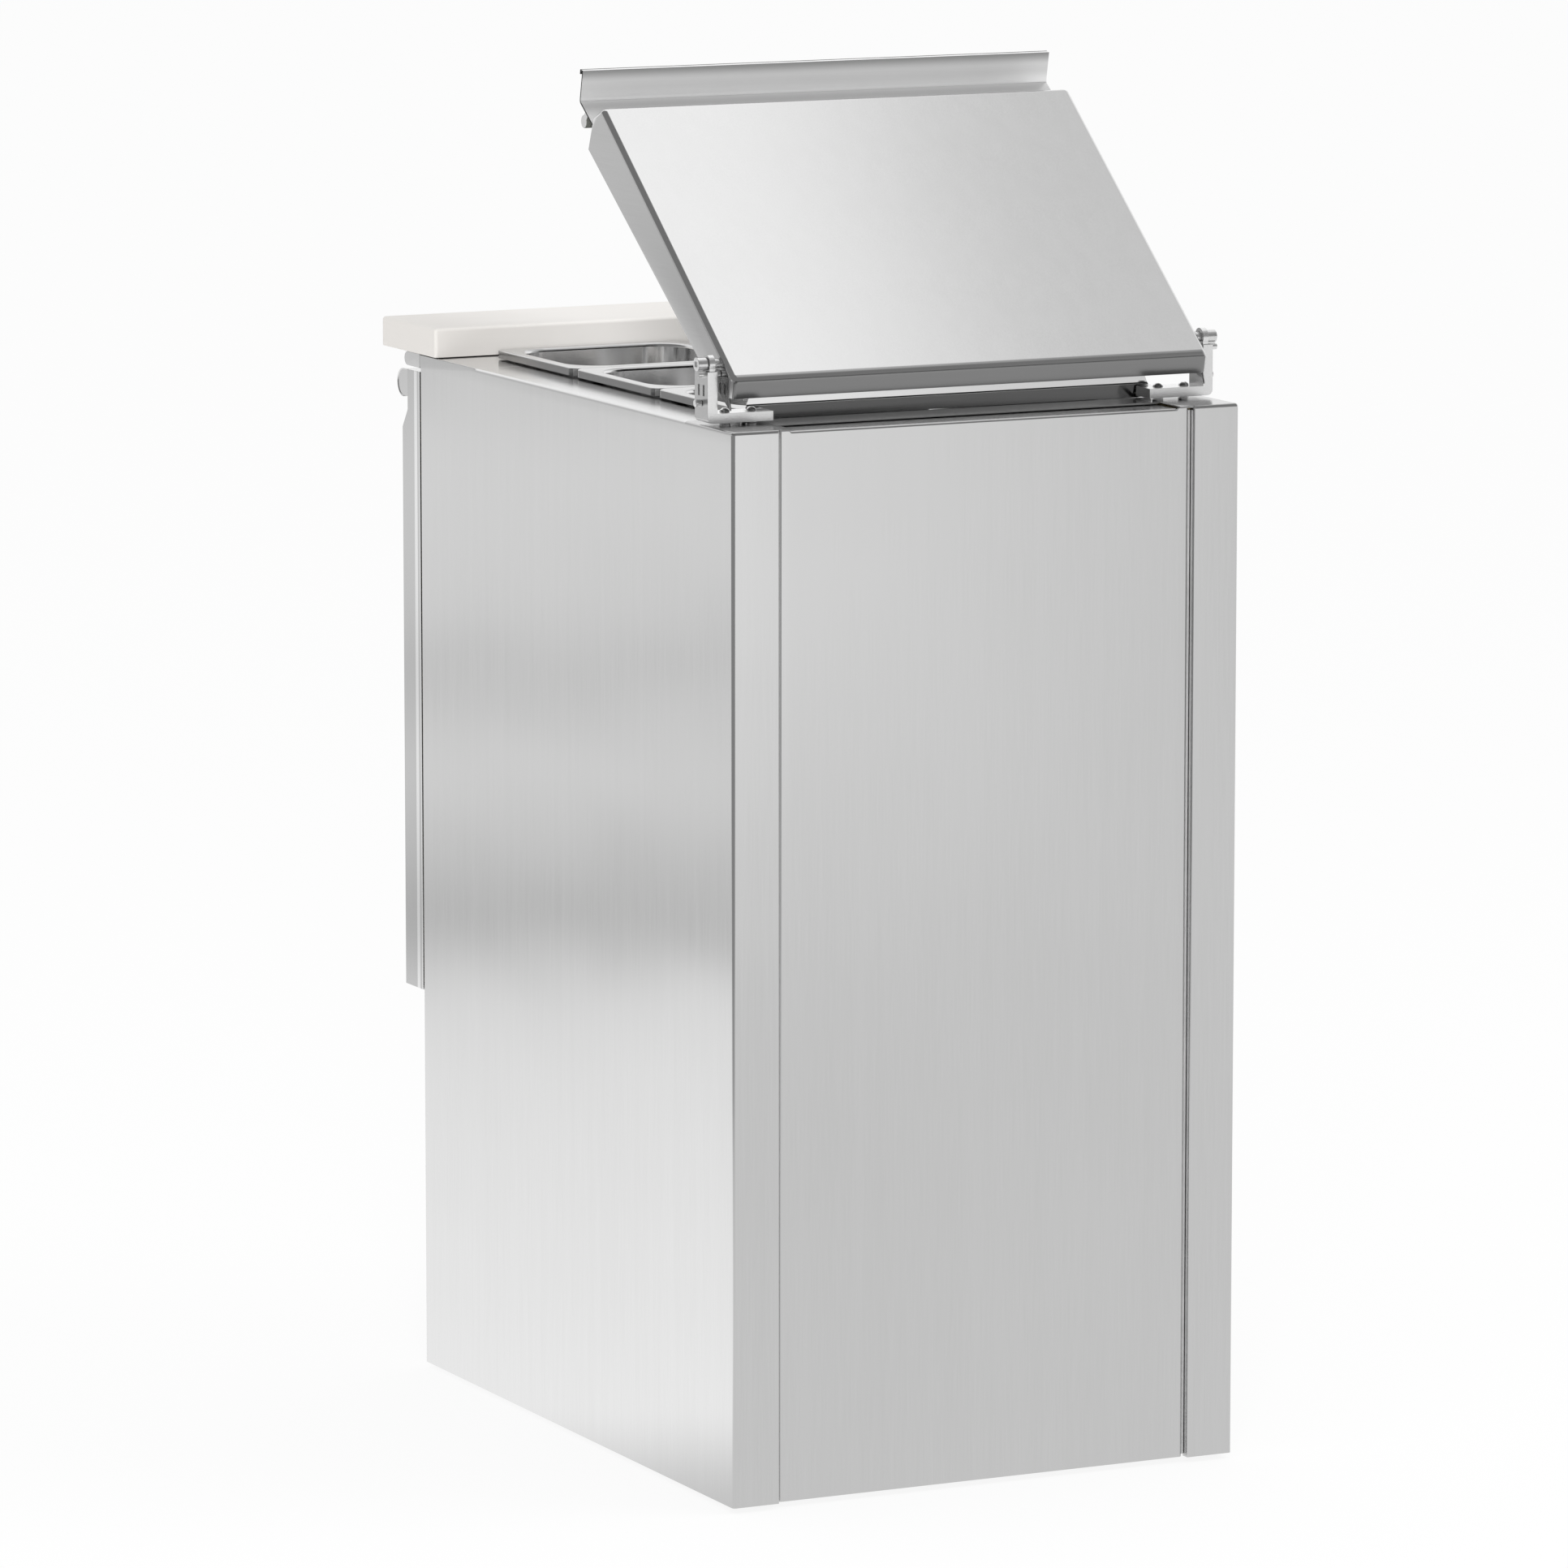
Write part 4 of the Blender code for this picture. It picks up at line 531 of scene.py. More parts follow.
# %% Finish a piece
def piece(bm, name, body, finish, nodes, sharp=40.0):
    """Turn a finished bmesh into a piece of the counter."""
    mesh = bpy.data.meshes.new(name)
    bm.to_mesh(mesh)
    bm.free()
    made = bpy.data.objects.new(name, mesh)
    studio.collection.objects.link(made)
    mesh.materials.append(finish.material)
    mesh.shade_smooth()
    mesh.set_sharp_from_angle(angle=math.radians(sharp))
    flat = made.modifiers.new("flat_faces", "WEIGHTED_NORMAL")
    flat.keep_sharp = True
    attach(made, body)
    if nodes:
        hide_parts(*nodes)
    print(name, len(mesh.polygons), "faces, rides on", body)
    return made


def thicken(made, thickness):
    """Give a folded surface its sheet thickness, away from the side that shows."""
    wall = made.modifiers.new("sheet", "SOLIDIFY")
    wall.thickness = thickness
    wall.offset = -1.0
    wall.use_even_offset = True
    wall.use_quality_normals = True
    made.modifiers.move(1, 0)
    return made


def add_finishes(made, *finishes):
    """Give a piece more finishes, for the faces that ask for them by number."""
    for finish in finishes:
        made.data.materials.append(finish.material)


print("a bmesh can become a piece")

# %% [markdown]
# ## Easing edges
# No real edge is perfectly sharp, and a small round catches light. Where a frame node has the right
# form, a copy is merged, its triangles are joined into flat faces, and a bevel rounds the edges that
# are sharp enough. Round walls are made of facets, so they ask for a higher limit.

# %% Ease the edges
MERGE = 0.00001
ROUND_WALLS = 50.0


def round_edges(bm, edges, radius, segments=4, clamp=True):
    """Round some edges of a mesh."""
    bmesh.ops.bevel(bm, geom=list(edges), offset=radius, offset_type="OFFSET", affect="EDGES",
                    segments=segments, profile=0.5, material=-1, clamp_overlap=clamp)


def copy_node(name):
    """A frame node as a bmesh, with its loose triangles joined into flat faces."""
    bm = bmesh.new()
    bm.from_mesh(frame["nodes"][name].data)
    bmesh.ops.remove_doubles(bm, verts=bm.verts, dist=MERGE)
    bmesh.ops.dissolve_limit(bm, angle_limit=math.radians(1.0), verts=bm.verts, edges=bm.edges,
                             use_dissolve_boundaries=False)
    return bm


def sharp_edges(bm, degrees=30.0):
    """Edges where two faces meet at more than an angle."""
    limit = math.radians(degrees)
    return [edge for edge in bm.edges if edge.is_manifold and edge.calc_face_angle() > limit]


def softened(name, body, finish, radius, segments=2, degrees=30.0):
    """A piece with the form of its frame node and slightly rounded edges."""
    bm = copy_node(name)
    round_edges(bm, sharp_edges(bm, degrees), radius, segments)
    return piece(bm, name + "_look", body, finish, [name])


def paint_light_by_side(made, finish, limit=0.7):
    """Give the faces that look to either side another finish: painted shade or a painted highlight."""
    add_finishes(made, finish)
    for face in made.data.polygons:
        face.material_index = 1 if abs(face.normal.x) > limit else 0


print("edges can be eased")

# %% [markdown]
# ## Folding a sheet
# A box with bevels would show no lips and no open ends. So sheet is folded as in the workshop: a row of
# edges is drawn up, then turned in, the folds are rounded, and the thickness comes last.

# %% Fold a sheet
NEAR = 0.0001


def start_row(bm, points):
    """A few vertices joined in a row."""
    row = [bm.verts.new(point) for point in points]
    return [bm.edges.new(pair) for pair in zip(row, row[1:])]


def draw_out(bm, edges, shift):
    """Extrude a row of edges by a shift and return the new row."""
    made = bmesh.ops.extrude_edge_only(bm, edges=list(edges))["geom"]
    moved = {item for item in made if isinstance(item, bmesh.types.BMVert)}
    bmesh.ops.translate(bm, verts=list(moved), vec=shift)
    rows = [item for item in made if isinstance(item, bmesh.types.BMEdge)]
    return [edge for edge in rows if edge.verts[0] in moved and edge.verts[1] in moved]


def middle(edge):
    """The middle of an edge."""
    return (edge.verts[0].co + edge.verts[1].co) / 2


def face_out(bm, axis, way):
    """Make the faces agree, with the largest one looking along an axis."""
    bmesh.ops.remove_doubles(bm, verts=bm.verts, dist=MERGE)
    bmesh.ops.recalc_face_normals(bm, faces=bm.faces)
    largest = max(bm.faces, key=lambda face: face.calc_area())
    if largest.normal[axis] * way < 0:
        bmesh.ops.reverse_faces(bm, faces=bm.faces)


print("sheets can be folded")

# %% [markdown]
# ## Side panels
# A side panel is one sheet: the outer wall, a return round the rear corner with a small lip, a return
# behind the door, and a ledge along the top with a turned-down edge. The part of the ledge behind the
# pans lies under the lid and mirrors it, so it is painted darker there: a painted reflection of the lid.
# The left panel is the right one mirrored, with its faces turned back outwards.

# %% Fold the side panels
RETURN = 0.042
RETURN_LIP = 0.008
FRONT_RETURN = 0.034
FRONT_STEP = 0.012
LEDGE_LIP = 0.020
FOLD_RADIUS = 0.0028
LIP_RADIUS = 0.0009
EDGE_BAND = 0.001
PANEL_SEAM = 0.0003
PAINTED_LEDGE_SHADE = 1
ledge_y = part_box("front_rail")[1].y + PANEL_SEAM
pans_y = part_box("rear_ledge")[0].y - PANEL_SEAM


def fold_side(side, name):
    """Fold one side panel."""
    bm = bmesh.new()
    plan = [(HALF - RETURN, REAR_Y - RETURN_LIP), (HALF - RETURN, REAR_Y), (HALF, REAR_Y), (HALF, pans_y),
            (HALF, ledge_y), (HALF, FRONT_Y), (HALF - FRONT_RETURN, FRONT_Y)]
    row = start_row(bm, [(x, y, BOTTOM_Z) for x, y in plan])
    row = draw_out(bm, row, (0, 0, TOP_Z - FRONT_STEP - BOTTOM_Z))
    row = [edge for edge in row if middle(edge).x > HALF - NEAR or middle(edge).y > FRONT_Y + NEAR]
    row = draw_out(bm, row, (0, 0, FRONT_STEP))
    ledge = [edge for edge in row if middle(edge).x > HALF - NEAR and middle(edge).y > ledge_y]
    ledge = draw_out(bm, ledge, (-RETURN, 0, 0))
    ledge = draw_out(bm, ledge, (LEDGE_EDGE - HALF + RETURN, 0, 0))
    draw_out(bm, [edge for edge in ledge if middle(edge).y < pans_y], (0, 0, -LEDGE_LIP))
    face_out(bm, 0, 1)
    lips = [edge for edge in sharp_edges(bm)
            if middle(edge).x < HALF - EDGE_BAND and middle(edge).z < TOP_Z - NEAR
            or middle(edge).x < LEDGE_EDGE + EDGE_BAND]
    round_edges(bm, lips, LIP_RADIUS, 3, False)
    outer = [edge for edge in sharp_edges(bm, 60.0) if middle(edge).x > HALF - RETURN + FOLD_RADIUS]
    round_edges(bm, outer, FOLD_RADIUS, 5, False)
    bm.normal_update()
    # Upward faces behind the pans take the painted ledge shade.
    for face in bm.faces:
        if face.normal.z > 0.4 and face.calc_center_median().y > pans_y:
            face.material_index = PAINTED_LEDGE_SHADE
    if side < 0:
        bmesh.ops.scale(bm, verts=bm.verts, vec=(-1, 1, 1))
        bmesh.ops.reverse_faces(bm, faces=bm.faces)
    made = thicken(piece(bm, name + "_look", "cabinet", brushed_upright, [name]), SHEET)
    add_finishes(made, ledge_painted_shade)


fold_side(1, "side_panel_right")
fold_side(-1, "side_panel_left")

# %% [markdown]
# ## Rear panel
# The rear panel sits a few millimetres in from the returns. Its upright edges are turned in, and its
# top edge is turned forwards under the brackets, so from behind it reads as a shallow tray. It is
# folded like the side panels.

# %% Fold the rear panel
rear_low, rear_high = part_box("rear_panel")
strip_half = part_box("rear_ledge")[1].x
TUCK = 0.012
TURN_IN = 0.008
REAR_FOLD = 0.0022

bm = bmesh.new()
face_y = rear_high.y
back_y = face_y - SHEET - TURN_IN
plan = [(-rear_high.x, back_y), (-rear_high.x, face_y), (-strip_half, face_y), (strip_half, face_y),
        (rear_high.x, face_y), (rear_high.x, back_y)]
row = start_row(bm, [(x, y, rear_low.z) for x, y in plan])
row = draw_out(bm, row, (0, 0, rear_high.z - rear_low.z))
row = [edge for edge in row if abs(middle(edge).x) < EDGE_BAND]
draw_out(bm, row, (0, rear_low.y - TUCK - face_y, 0))
face_out(bm, 1, 1)
round_edges(bm, sharp_edges(bm), REAR_FOLD, 5, False)
thicken(piece(bm, "rear_panel_look", "cabinet", brushed_rear, ["rear_panel"]), SHEET)

# %% [markdown]
# ## Sealed grooves
# Between each return and the rear panel there is a narrow groove. A bead of grey sealant closes it on
# the real counter, so that no wash water reaches the foam. A slim box with rounded edges is enough,
# because only its face shows. The same closes the fine seam at each end of the rear ledge.

# %% Lay the sealant
GROOVE = 0.0021
GROOVE_FOOT, GROOVE_FACE = 0.0045, 0.0015
GROOVE_END = 0.002
SEAM = 0.0002
SEAM_FOOT, SEAM_FACE = 0.004, 0.0003
SEAM_END = 0.0025
seam_x = (strip_half + LEDGE_EDGE) / 2


def block(low, high):
    """A box between two corners, as a bmesh."""
    bm = bmesh.new()
    bmesh.ops.create_cube(bm, size=1.0)
    bmesh.ops.scale(bm, verts=bm.verts, vec=Vector(high) - Vector(low))
    bmesh.ops.translate(bm, verts=bm.verts, vec=(Vector(low) + Vector(high)) / 2)
    return bm


def bead(name, low, high):
    """A slim bead of sealant between two corners."""
    bm = block(low, high)
    round_edges(bm, sharp_edges(bm, 60.0), min(high[0] - low[0], 0.001) * 0.3, 3)
    return piece(bm, name, "cabinet", sealant, [])


for side, hand in ((-1, "left"), (1, "right")):
    groove_x = side * (rear_high.x + HALF - RETURN) / 2
    bead("groove_seal_" + hand, (groove_x - GROOVE / 2, face_y - GROOVE_FOOT, rear_low.z + GROOVE_END),
         (groove_x + GROOVE / 2, face_y - GROOVE_FACE, rear_high.z - GROOVE_END))
    bead("seam_seal_" + hand, (side * seam_x - SEAM / 2, rear_low.y - TUCK, rear_high.z - SEAM_FOOT),
         (side * seam_x + SEAM / 2, face_y - SEAM_END, rear_high.z - SEAM_FACE))

# %% [markdown]
# ## Counter top
# The strip behind the pans, the front rail and the bars between the pans are plain folded sheet. Their
# frame nodes have the right form, so copies of them are eased by a fraction of a millimetre.

# %% Ease the counter top
# The rear ledge takes the painted ledge shade, like the ledges of the side panels.
counter_strips = {
    "rear_ledge": (ledge_painted_shade, 0.0004), "front_rail": (brushed_across, 0.0005),
    "pan_centre_bar": (brushed_deep, 0.0008), "pan_cross_bar_1": (brushed_across, 0.0008),
    "pan_cross_bar_2": (brushed_across, 0.0008),
}
for name, (finish, radius) in counter_strips.items():
    softened(name, "cabinet", finish, radius)

# %% [markdown]
# ## Rail behind the pans
# The rail is a folded strip of bright steel with mitred ends. Its upright face is creased: the upper
# part leans so that it mirrors the far floor and shines under the dark lid, and the lower part leans
# the other way and mirrors the dark ledge. The profile is drawn out across the counter, its folds are
# rounded, and the ends are cut to the mitre.

# %% Fold the rail
rail_low, rail_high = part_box("rear_pan_rail")
RAIL_MITRE = 0.007
RAIL_CREASE = 0.0072
FOOT_IN = 0.0020
STEP_IN, STEP_UP = 0.0008, 0.0006
EDGE_IN, EDGE_DOWN = 0.00096, 0.0008
RAIL_LIP = 0.0040
RAIL_FOLD = 0.0004
RAIL_SHEET = 0.0010
rail_crease = rail_high.z - RAIL_CREASE
profile = [(rail_high.y - FOOT_IN, rail_low.z), (rail_high.y, rail_crease),
           (rail_high.y - STEP_IN, rail_crease + STEP_UP),
           (rail_high.y - EDGE_IN, rail_high.z - EDGE_DOWN),
           (rail_low.y, rail_high.z), (rail_low.y, rail_high.z - RAIL_LIP)]
bm = bmesh.new()
row = start_row(bm, [(rail_low.x, y, z) for y, z in profile])
draw_out(bm, row, (rail_high.x - rail_low.x, 0, 0))
face_out(bm, 1, 1)
round_edges(bm, sharp_edges(bm, 20.0), RAIL_FOLD, 3, False)
for side in (-1, 1):
    slope = Vector((rail_high.z - rail_low.z, 0, side * RAIL_MITRE)).normalized() * side
    slope.z = abs(slope.z)
    bmesh.ops.bisect_plane(bm, geom=list(bm.verts) + list(bm.edges) + list(bm.faces), clear_outer=True,
                           plane_co=(side * rail_high.x, 0, rail_low.z), plane_no=slope)
thicken(piece(bm, "rear_pan_rail_look", "cabinet", bright_rail, ["rear_pan_rail"]), RAIL_SHEET)

# %% [markdown]
# ## Outlines of a pan
# A pan is drawn from one round-cornered blank. The corners of its well are much rounder than those of
# its rim, so an inset of the rim would give the wrong corner. Each outline is made on its own instead,
# from a square with its corners bevelled.

# %% Draw an outline
def outline(bm, low, high, inset, corner, z):
    """A round-cornered outline at a height, as a loop of edges."""
    centre = Vector(((low.x + high.x) / 2, (low.y + high.y) / 2, z))
    made = bmesh.ops.create_grid(bm, x_segments=1, y_segments=1, size=0.5)["verts"]
    wide = high.x - low.x - 2 * inset
    long = high.y - low.y - 2 * inset
    bmesh.ops.scale(bm, verts=made, vec=(wide, long, 1.0))
    bmesh.ops.translate(bm, verts=made, vec=centre)
    bmesh.ops.bevel(bm, geom=made, offset=corner, offset_type="OFFSET", affect="VERTICES",
                    segments=8, profile=0.5, material=-1)
    loop = [edge for face in bm.faces for edge in face.edges]
    bmesh.ops.delete(bm, geom=list(bm.faces), context="FACES_ONLY")
    return loop


print("outlines can be drawn")

# %% [markdown]
# ## Food pans
# The rim of a pan is flat, with a turned-down edge, and the well tapers to a rounded floor. Four
# outlines are bridged, and the three turns are rounded after that. The flange and its edge are duller
# than the well and painted darker, a painted reflection of the dark lid, so their faces take finishes of
# their own.

# %% Draw the pans
PAN_SHEET = 0.001
RIM_WIDTH = 0.012
RIM_CORNER = 0.010
RIM_FALL = 0.0065
RIM_ROUND = 0.0012
MOUTH_ROUND = 0.003
WELL_CORNER = 0.030
WELL_TAPER = 0.006
FLOOR_ROUND = 0.012
RIM_BAND = 0.002
# Face numbers of the painted flange shade and the painted edge shade.
PAINTED_FLANGE_SHADE, EDGE_FINISH = 1, 2


def draw_pan(name):
    """Draw one pan in the place of its frame node."""
    low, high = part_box(name)
    bm = bmesh.new()
    rim_low = outline(bm, low, high, 0.0, RIM_CORNER, high.z - RIM_FALL)
    rim_top = outline(bm, low, high, 0.0, RIM_CORNER, high.z)
    mouth = outline(bm, low, high, RIM_WIDTH, WELL_CORNER, high.z - RIM_WIDTH)
    foot = outline(bm, low, high, RIM_WIDTH + WELL_TAPER, WELL_CORNER, low.z + PAN_SHEET)
    for first, second in ((rim_low, rim_top), (rim_top, mouth), (mouth, foot)):
        bmesh.ops.bridge_loops(bm, edges=first + second)
    bmesh.ops.contextual_create(bm, geom=foot)
    mouth_verts = list({vert for edge in mouth for vert in edge.verts})
    bmesh.ops.translate(bm, verts=mouth_verts, vec=(0, 0, RIM_WIDTH))
    bmesh.ops.recalc_face_normals(bm, faces=bm.faces)
    floor_face = max(bm.faces, key=lambda face: len(face.verts))
    if floor_face.normal.z < 0:
        bmesh.ops.reverse_faces(bm, faces=bm.faces)
    round_edges(bm, foot, FLOOR_ROUND, 5)
    round_edges(bm, mouth, MOUTH_ROUND, 4)
    round_edges(bm, rim_top, RIM_ROUND, 3)
    # The flange and its turned-down edge take their painted shade.
    for face in bm.faces:
        centre = face.calc_center_median()
        high_up = centre.z > high.z - RIM_FALL
        outside = not low.x + RIM_BAND < centre.x < high.x - RIM_BAND
        outside = outside or not low.y + RIM_BAND < centre.y < high.y - RIM_BAND
        if high_up and face.normal.z > 0.7:
            face.material_index = PAINTED_FLANGE_SHADE
        elif high_up and outside:
            face.material_index = EDGE_FINISH
    made = thicken(piece(bm, name + "_look", name, polished, [name], 50.0), PAN_SHEET)
    add_finishes(made, pan_flange_painted_shade, pan_edge_painted_shade)


for row_name in ("rear", "middle", "front"):
    for column_name in ("left", "right"):
        draw_pan(f"pan_{row_name}_{column_name}")

# %% [markdown]
# ## Cutting board
# A plank of white polyethylene whose corners and upper edges are rounded by a router. Its foot is
# almost sharp, because it lies flat on the front rail, and a rounded foot would show a dark line there.
# A box between the board's corners is bevelled in the order of the real work: corners first, then rims.

# %% Shape the board
BOARD_ROUND = 0.003
BOARD_FOOT = 0.0003
BOARD_GAP = 0.00005
board_low, board_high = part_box("cutting_board")
board_low.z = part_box("front_rail")[1].z + BOARD_GAP
bm = block(board_low, board_high)
upright = [edge for edge in bm.edges if abs(edge.verts[0].co.z - edge.verts[1].co.z) > 0.01]
round_edges(bm, upright, BOARD_ROUND)
rim = [edge for edge in sharp_edges(bm, 60.0) if middle(edge).z > board_high.z - EDGE_BAND]
round_edges(bm, rim, BOARD_ROUND)
foot = [edge for edge in sharp_edges(bm, 60.0) if middle(edge).z < board_low.z + EDGE_BAND]
round_edges(bm, foot, BOARD_FOOT, 2)
piece(bm, "cutting_board_look", "cutting_board", white_board, ["cutting_board"])

# %% [markdown]
# ## Lid hood
# The hood is folded from one sheet: a wide top, tapered side walls, a short skirt behind and a raked
# wall in front. Its bends are soft, about five millimetres, and show as dark lines in the bright top.
# It is drawn in the lid's own frame, flat and level, because its sizes are plain there. The skirt and
# the side walls get finishes of their own, which carry painted shade.

# %% Fold the lid hood
LID_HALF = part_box("lid_hood")[1].x
LID_REAR = -0.0277
LID_FRONT = 0.2925
LID_TOP = 0.0091
LID_BEND = 0.005
SKIRT_FOOT = (-0.0352, -0.0064)
FRONT_BEND = (0.2975, -0.0049)
FRONT_FOOT = (0.2975, -0.0134)
SIDE_FOOT = [(0.2892, -0.0359), (0.0320, -0.0234), (-0.0395, -0.0152)]
PAINTED_SKIRT_SHADE, SIDE_FINISH = 1, 2


def lid_point(bm, u, v, x):
    """A vertex in the lid's frame: forwards, up and across."""
    return bm.verts.new((x, -u, v))


bm = bmesh.new()
ends = {}
for side in (-1, 1):
    x = side * LID_HALF
    names = {"rear": (LID_REAR, LID_TOP), "front": (LID_FRONT, LID_TOP), "skirt": SKIRT_FOOT,
             "bend": FRONT_BEND, "wall": FRONT_FOOT}
    ends[side] = {key: lid_point(bm, u, v, x) for key, (u, v) in names.items()}
    foot = [lid_point(bm, u, v, x) for u, v in SIDE_FOOT]
    corners = ends[side]
    bm.faces.new([corners["rear"], corners["front"], corners["bend"]] + foot + [corners["skirt"]])
for first, second in (("skirt", "rear"), ("rear", "front"), ("front", "bend"), ("bend", "wall")):
    bm.faces.new((ends[-1][first], ends[1][first], ends[1][second], ends[-1][second]))
face_out(bm, 2, 1)
round_edges(bm, sharp_edges(bm, 15.0), LID_BEND, 6, False)
# The skirt faces take the painted skirt shade, and the side walls their own finish.
for face in bm.faces:
    if abs(face.normal.x) > 0.95:
        face.material_index = SIDE_FINISH
    elif face.normal.y > 0.6 and face.normal.z < 0.7:
        face.material_index = PAINTED_SKIRT_SHADE
print("hood folded,", len(bm.faces), "faces")

# %% [markdown]
# ## Finish of the hood
# The hood is tilted about its hinge only now. Its side walls darken towards the hinge, where they
# mirror the counter top. A lamp could not do that without changing the top too, so the side finish is
# shaded by height.

# %% Finish the hood
LID_SHEET = 0.0015
SIDE_DARK, SIDE_LIGHT = 0.93, 1.10
HINGE_TONE = 0.547
bmesh.ops.transform(bm, matrix=LID_FRAME, verts=bm.verts)
lid_side = make_steel(SATIN, "lid_side", STEEL, LID_ROUGH, DEEP, FINE_GRAIN)
near_hinge = 1.0 - lid_side.smooth(lid_side.axis("Z"), SIDE_DARK, SIDE_LIGHT)
lid_side.shade(near_hinge, grey(HINGE_TONE))
hood = thicken(piece(bm, "lid_hood_look", "lid", brushed_lid, ["lid_hood"]), LID_SHEET)
add_finishes(hood, skirt_painted_shade, lid_side)

# %% [markdown]
# ## Outline of the handle
# The handle is a full-width fold in front of the lid: a flat web, a short knee and a raised lip whose
# top is hemmed over, so that it is safe to the hand. It could be cut from a box, but then the hem would
# be solid. So its outline is a row of points in the lid's frame, drawn out across the lid.

# %% Draw the handle
HANDLE_START = (0.2960, -0.0137)
HANDLE_BEND = (0.3252, -0.0154)
KNEE_LENGTH = 0.0026
KNEE_ANGLE = math.radians(54.0)
LIP_LENGTH = 0.0238
LIP_ANGLE = math.radians(63.0)
HEM = 0.004
HEM_WIDTH = 0.0055
HEM_BRIGHT = 0.0033


def heading(angle):
    """A direction in the lid's side view."""
    return Vector((math.cos(angle), math.sin(angle)))


lip = heading(LIP_ANGLE)
knee = Vector(HANDLE_BEND) + heading(KNEE_ANGLE) * KNEE_LENGTH
lip_top = knee + lip * LIP_LENGTH
outwards = Vector((lip.y, -lip.x))
hem_middle = lip_top + outwards * HEM_BRIGHT
hem_top = lip_top + outwards * HEM_WIDTH
hem_end = hem_top - lip * HEM
profile = [HANDLE_START, HANDLE_BEND, knee, lip_top, hem_middle, hem_top, hem_end]
bm = bmesh.new()
row = start_row(bm, [(-LID_HALF, -u, v) for u, v in profile])
draw_out(bm, row, (2 * LID_HALF, 0, 0))
bmesh.ops.recalc_face_normals(bm, faces=bm.faces)
web = max(bm.faces, key=lambda face: face.normal.z * face.normal.z)
if web.normal.z < 0:
    bmesh.ops.reverse_faces(bm, faces=bm.faces)
print("handle drawn from", len(profile), "points")

# %% [markdown]
# ## Bends of the handle
# The hem, the web and the knee are bent to different radii, so they are rounded one after the other.
# The flat of the hem gets a painted highlight and its outer edge a painted dark shade, and both are
# found by their place in the lid's frame, before the handle is tilted with the lid.

# %% Bend the handle
HEM_BEND = 0.0005
WEB_BEND = 0.0008
KNEE_BEND = 0.0003
HEM_HIGHLIGHT_INDEX, CUT_SHADE_INDEX = 1, 2
half_up = 0.5 * lip_top.y
knee_place = Vector((-knee.x, knee.y))
lip_up = Vector((0, -lip.x, lip.y))
hem_bends = [edge for edge in sharp_edges(bm, 60.0) if middle(edge).z > half_up]
round_edges(bm, hem_bends, HEM_BEND, 3)
web_bends = [edge for edge in sharp_edges(bm, 45.0) if middle(edge).z < 0.5 * knee.y]
round_edges(bm, web_bends, WEB_BEND, 4)
knee_bends = [edge for edge in sharp_edges(bm, 5.0) if (middle(edge).yz - knee_place).length < NEAR]
round_edges(bm, knee_bends, KNEE_BEND, 2)
bm.normal_update()
# The hem's outer edge takes painted shade and its flat a painted highlight.
for face in bm.faces:
    centre = face.calc_center_median()
    if (Vector((-centre.y, centre.z)) - lip_top).dot(outwards) > HEM_BRIGHT:
        face.material_index = CUT_SHADE_INDEX
    elif centre.z > half_up and abs(face.normal.dot(lip_up)) > 0.8:
        face.material_index = HEM_HIGHLIGHT_INDEX
bmesh.ops.transform(bm, matrix=LID_FRAME, verts=bm.verts)
print("handle bent,", len(bm.faces), "faces")

# %% [markdown]
# ## Finish of the handle
# The lip's tones are painted light and shade: a painted highlight above the bend, painted shade that
# darkens it towards the hem, and a painted middle-grey shade on the web under it. The tones follow the
# height up the lip, which is a sum of two object coordinates, so they stay on the handle when the lid
# moves.

# %% Finish the handle
HANDLE_METAL = 0.75
PAINTED_TOP_SHADE, HEM_SHADE = 0.33, 0.0103
PAINTED_BEND_HIGHLIGHT = 0.94
PAINTED_WEB_SHADE = 0.65
handle_steel = make_steel(SATIN, "handle_steel", 0.74, 0.32, ACROSS, metallic=HANDLE_METAL)
# The hem's bright finish is a painted highlight, and the near-black cut edge is painted shade.
hem_painted_highlight = make_steel(SATIN, "hem_painted_highlight", 0.90, 0.15, ACROSS)
cut_edge_painted_shade = make_steel(SATIN, "cut_edge_painted_shade", 0.08, 0.40, ACROSS)
lip_axis = LID_FRAME.to_3x3() @ lip_up


def up_the_lip(point):
    """How far a point of the outline lies along the lip's direction."""
    return (LID_FRAME @ Vector((0, -point[0], point[1]))).dot(lip_axis)


lip_foot = up_the_lip(HANDLE_BEND)
lip_high = up_the_lip(lip_top) - lip_foot
height = handle_steel.axis("Y") * lip_axis.y + handle_steel.axis("Z") * lip_axis.z - lip_foot
# Painted shade towards the hem, a painted highlight near the bend, and painted shade on the web.
handle_steel.shade(handle_steel.smooth(height, lip_high - HEM_SHADE, lip_high), grey(PAINTED_TOP_SHADE))
above_web = handle_steel.smooth(height, -0.0002, 0.0006)
bend_highlight_mask = above_web * (1.0 - handle_steel.smooth(height, 0.002, 0.012))
handle_steel.shade(bend_highlight_mask, grey(PAINTED_BEND_HIGHLIGHT))
handle_steel.shade(1.0 - handle_steel.smooth(height, -0.003, 0.0), grey(PAINTED_WEB_SHADE))
handle = thicken(piece(bm, "lid_handle_look", "lid", handle_steel, ["lid_handle"]), LID_SHEET)
add_finishes(handle, hem_painted_highlight, cut_edge_painted_shade)
# All cut rims of the handle's sheet take the painted dark shade.
handle.modifiers["sheet"].material_offset_rim = CUT_SHADE_INDEX

# %% [markdown]
# ## Lining and bumpers of the lid
# The lining under the hood is black, and two rubber bumpers under the handle meet the counter when the
# lid is closed. The frame has their forms, so their edges are eased, and the paler ends of the bumpers
# take a second finish, a painted highlight.

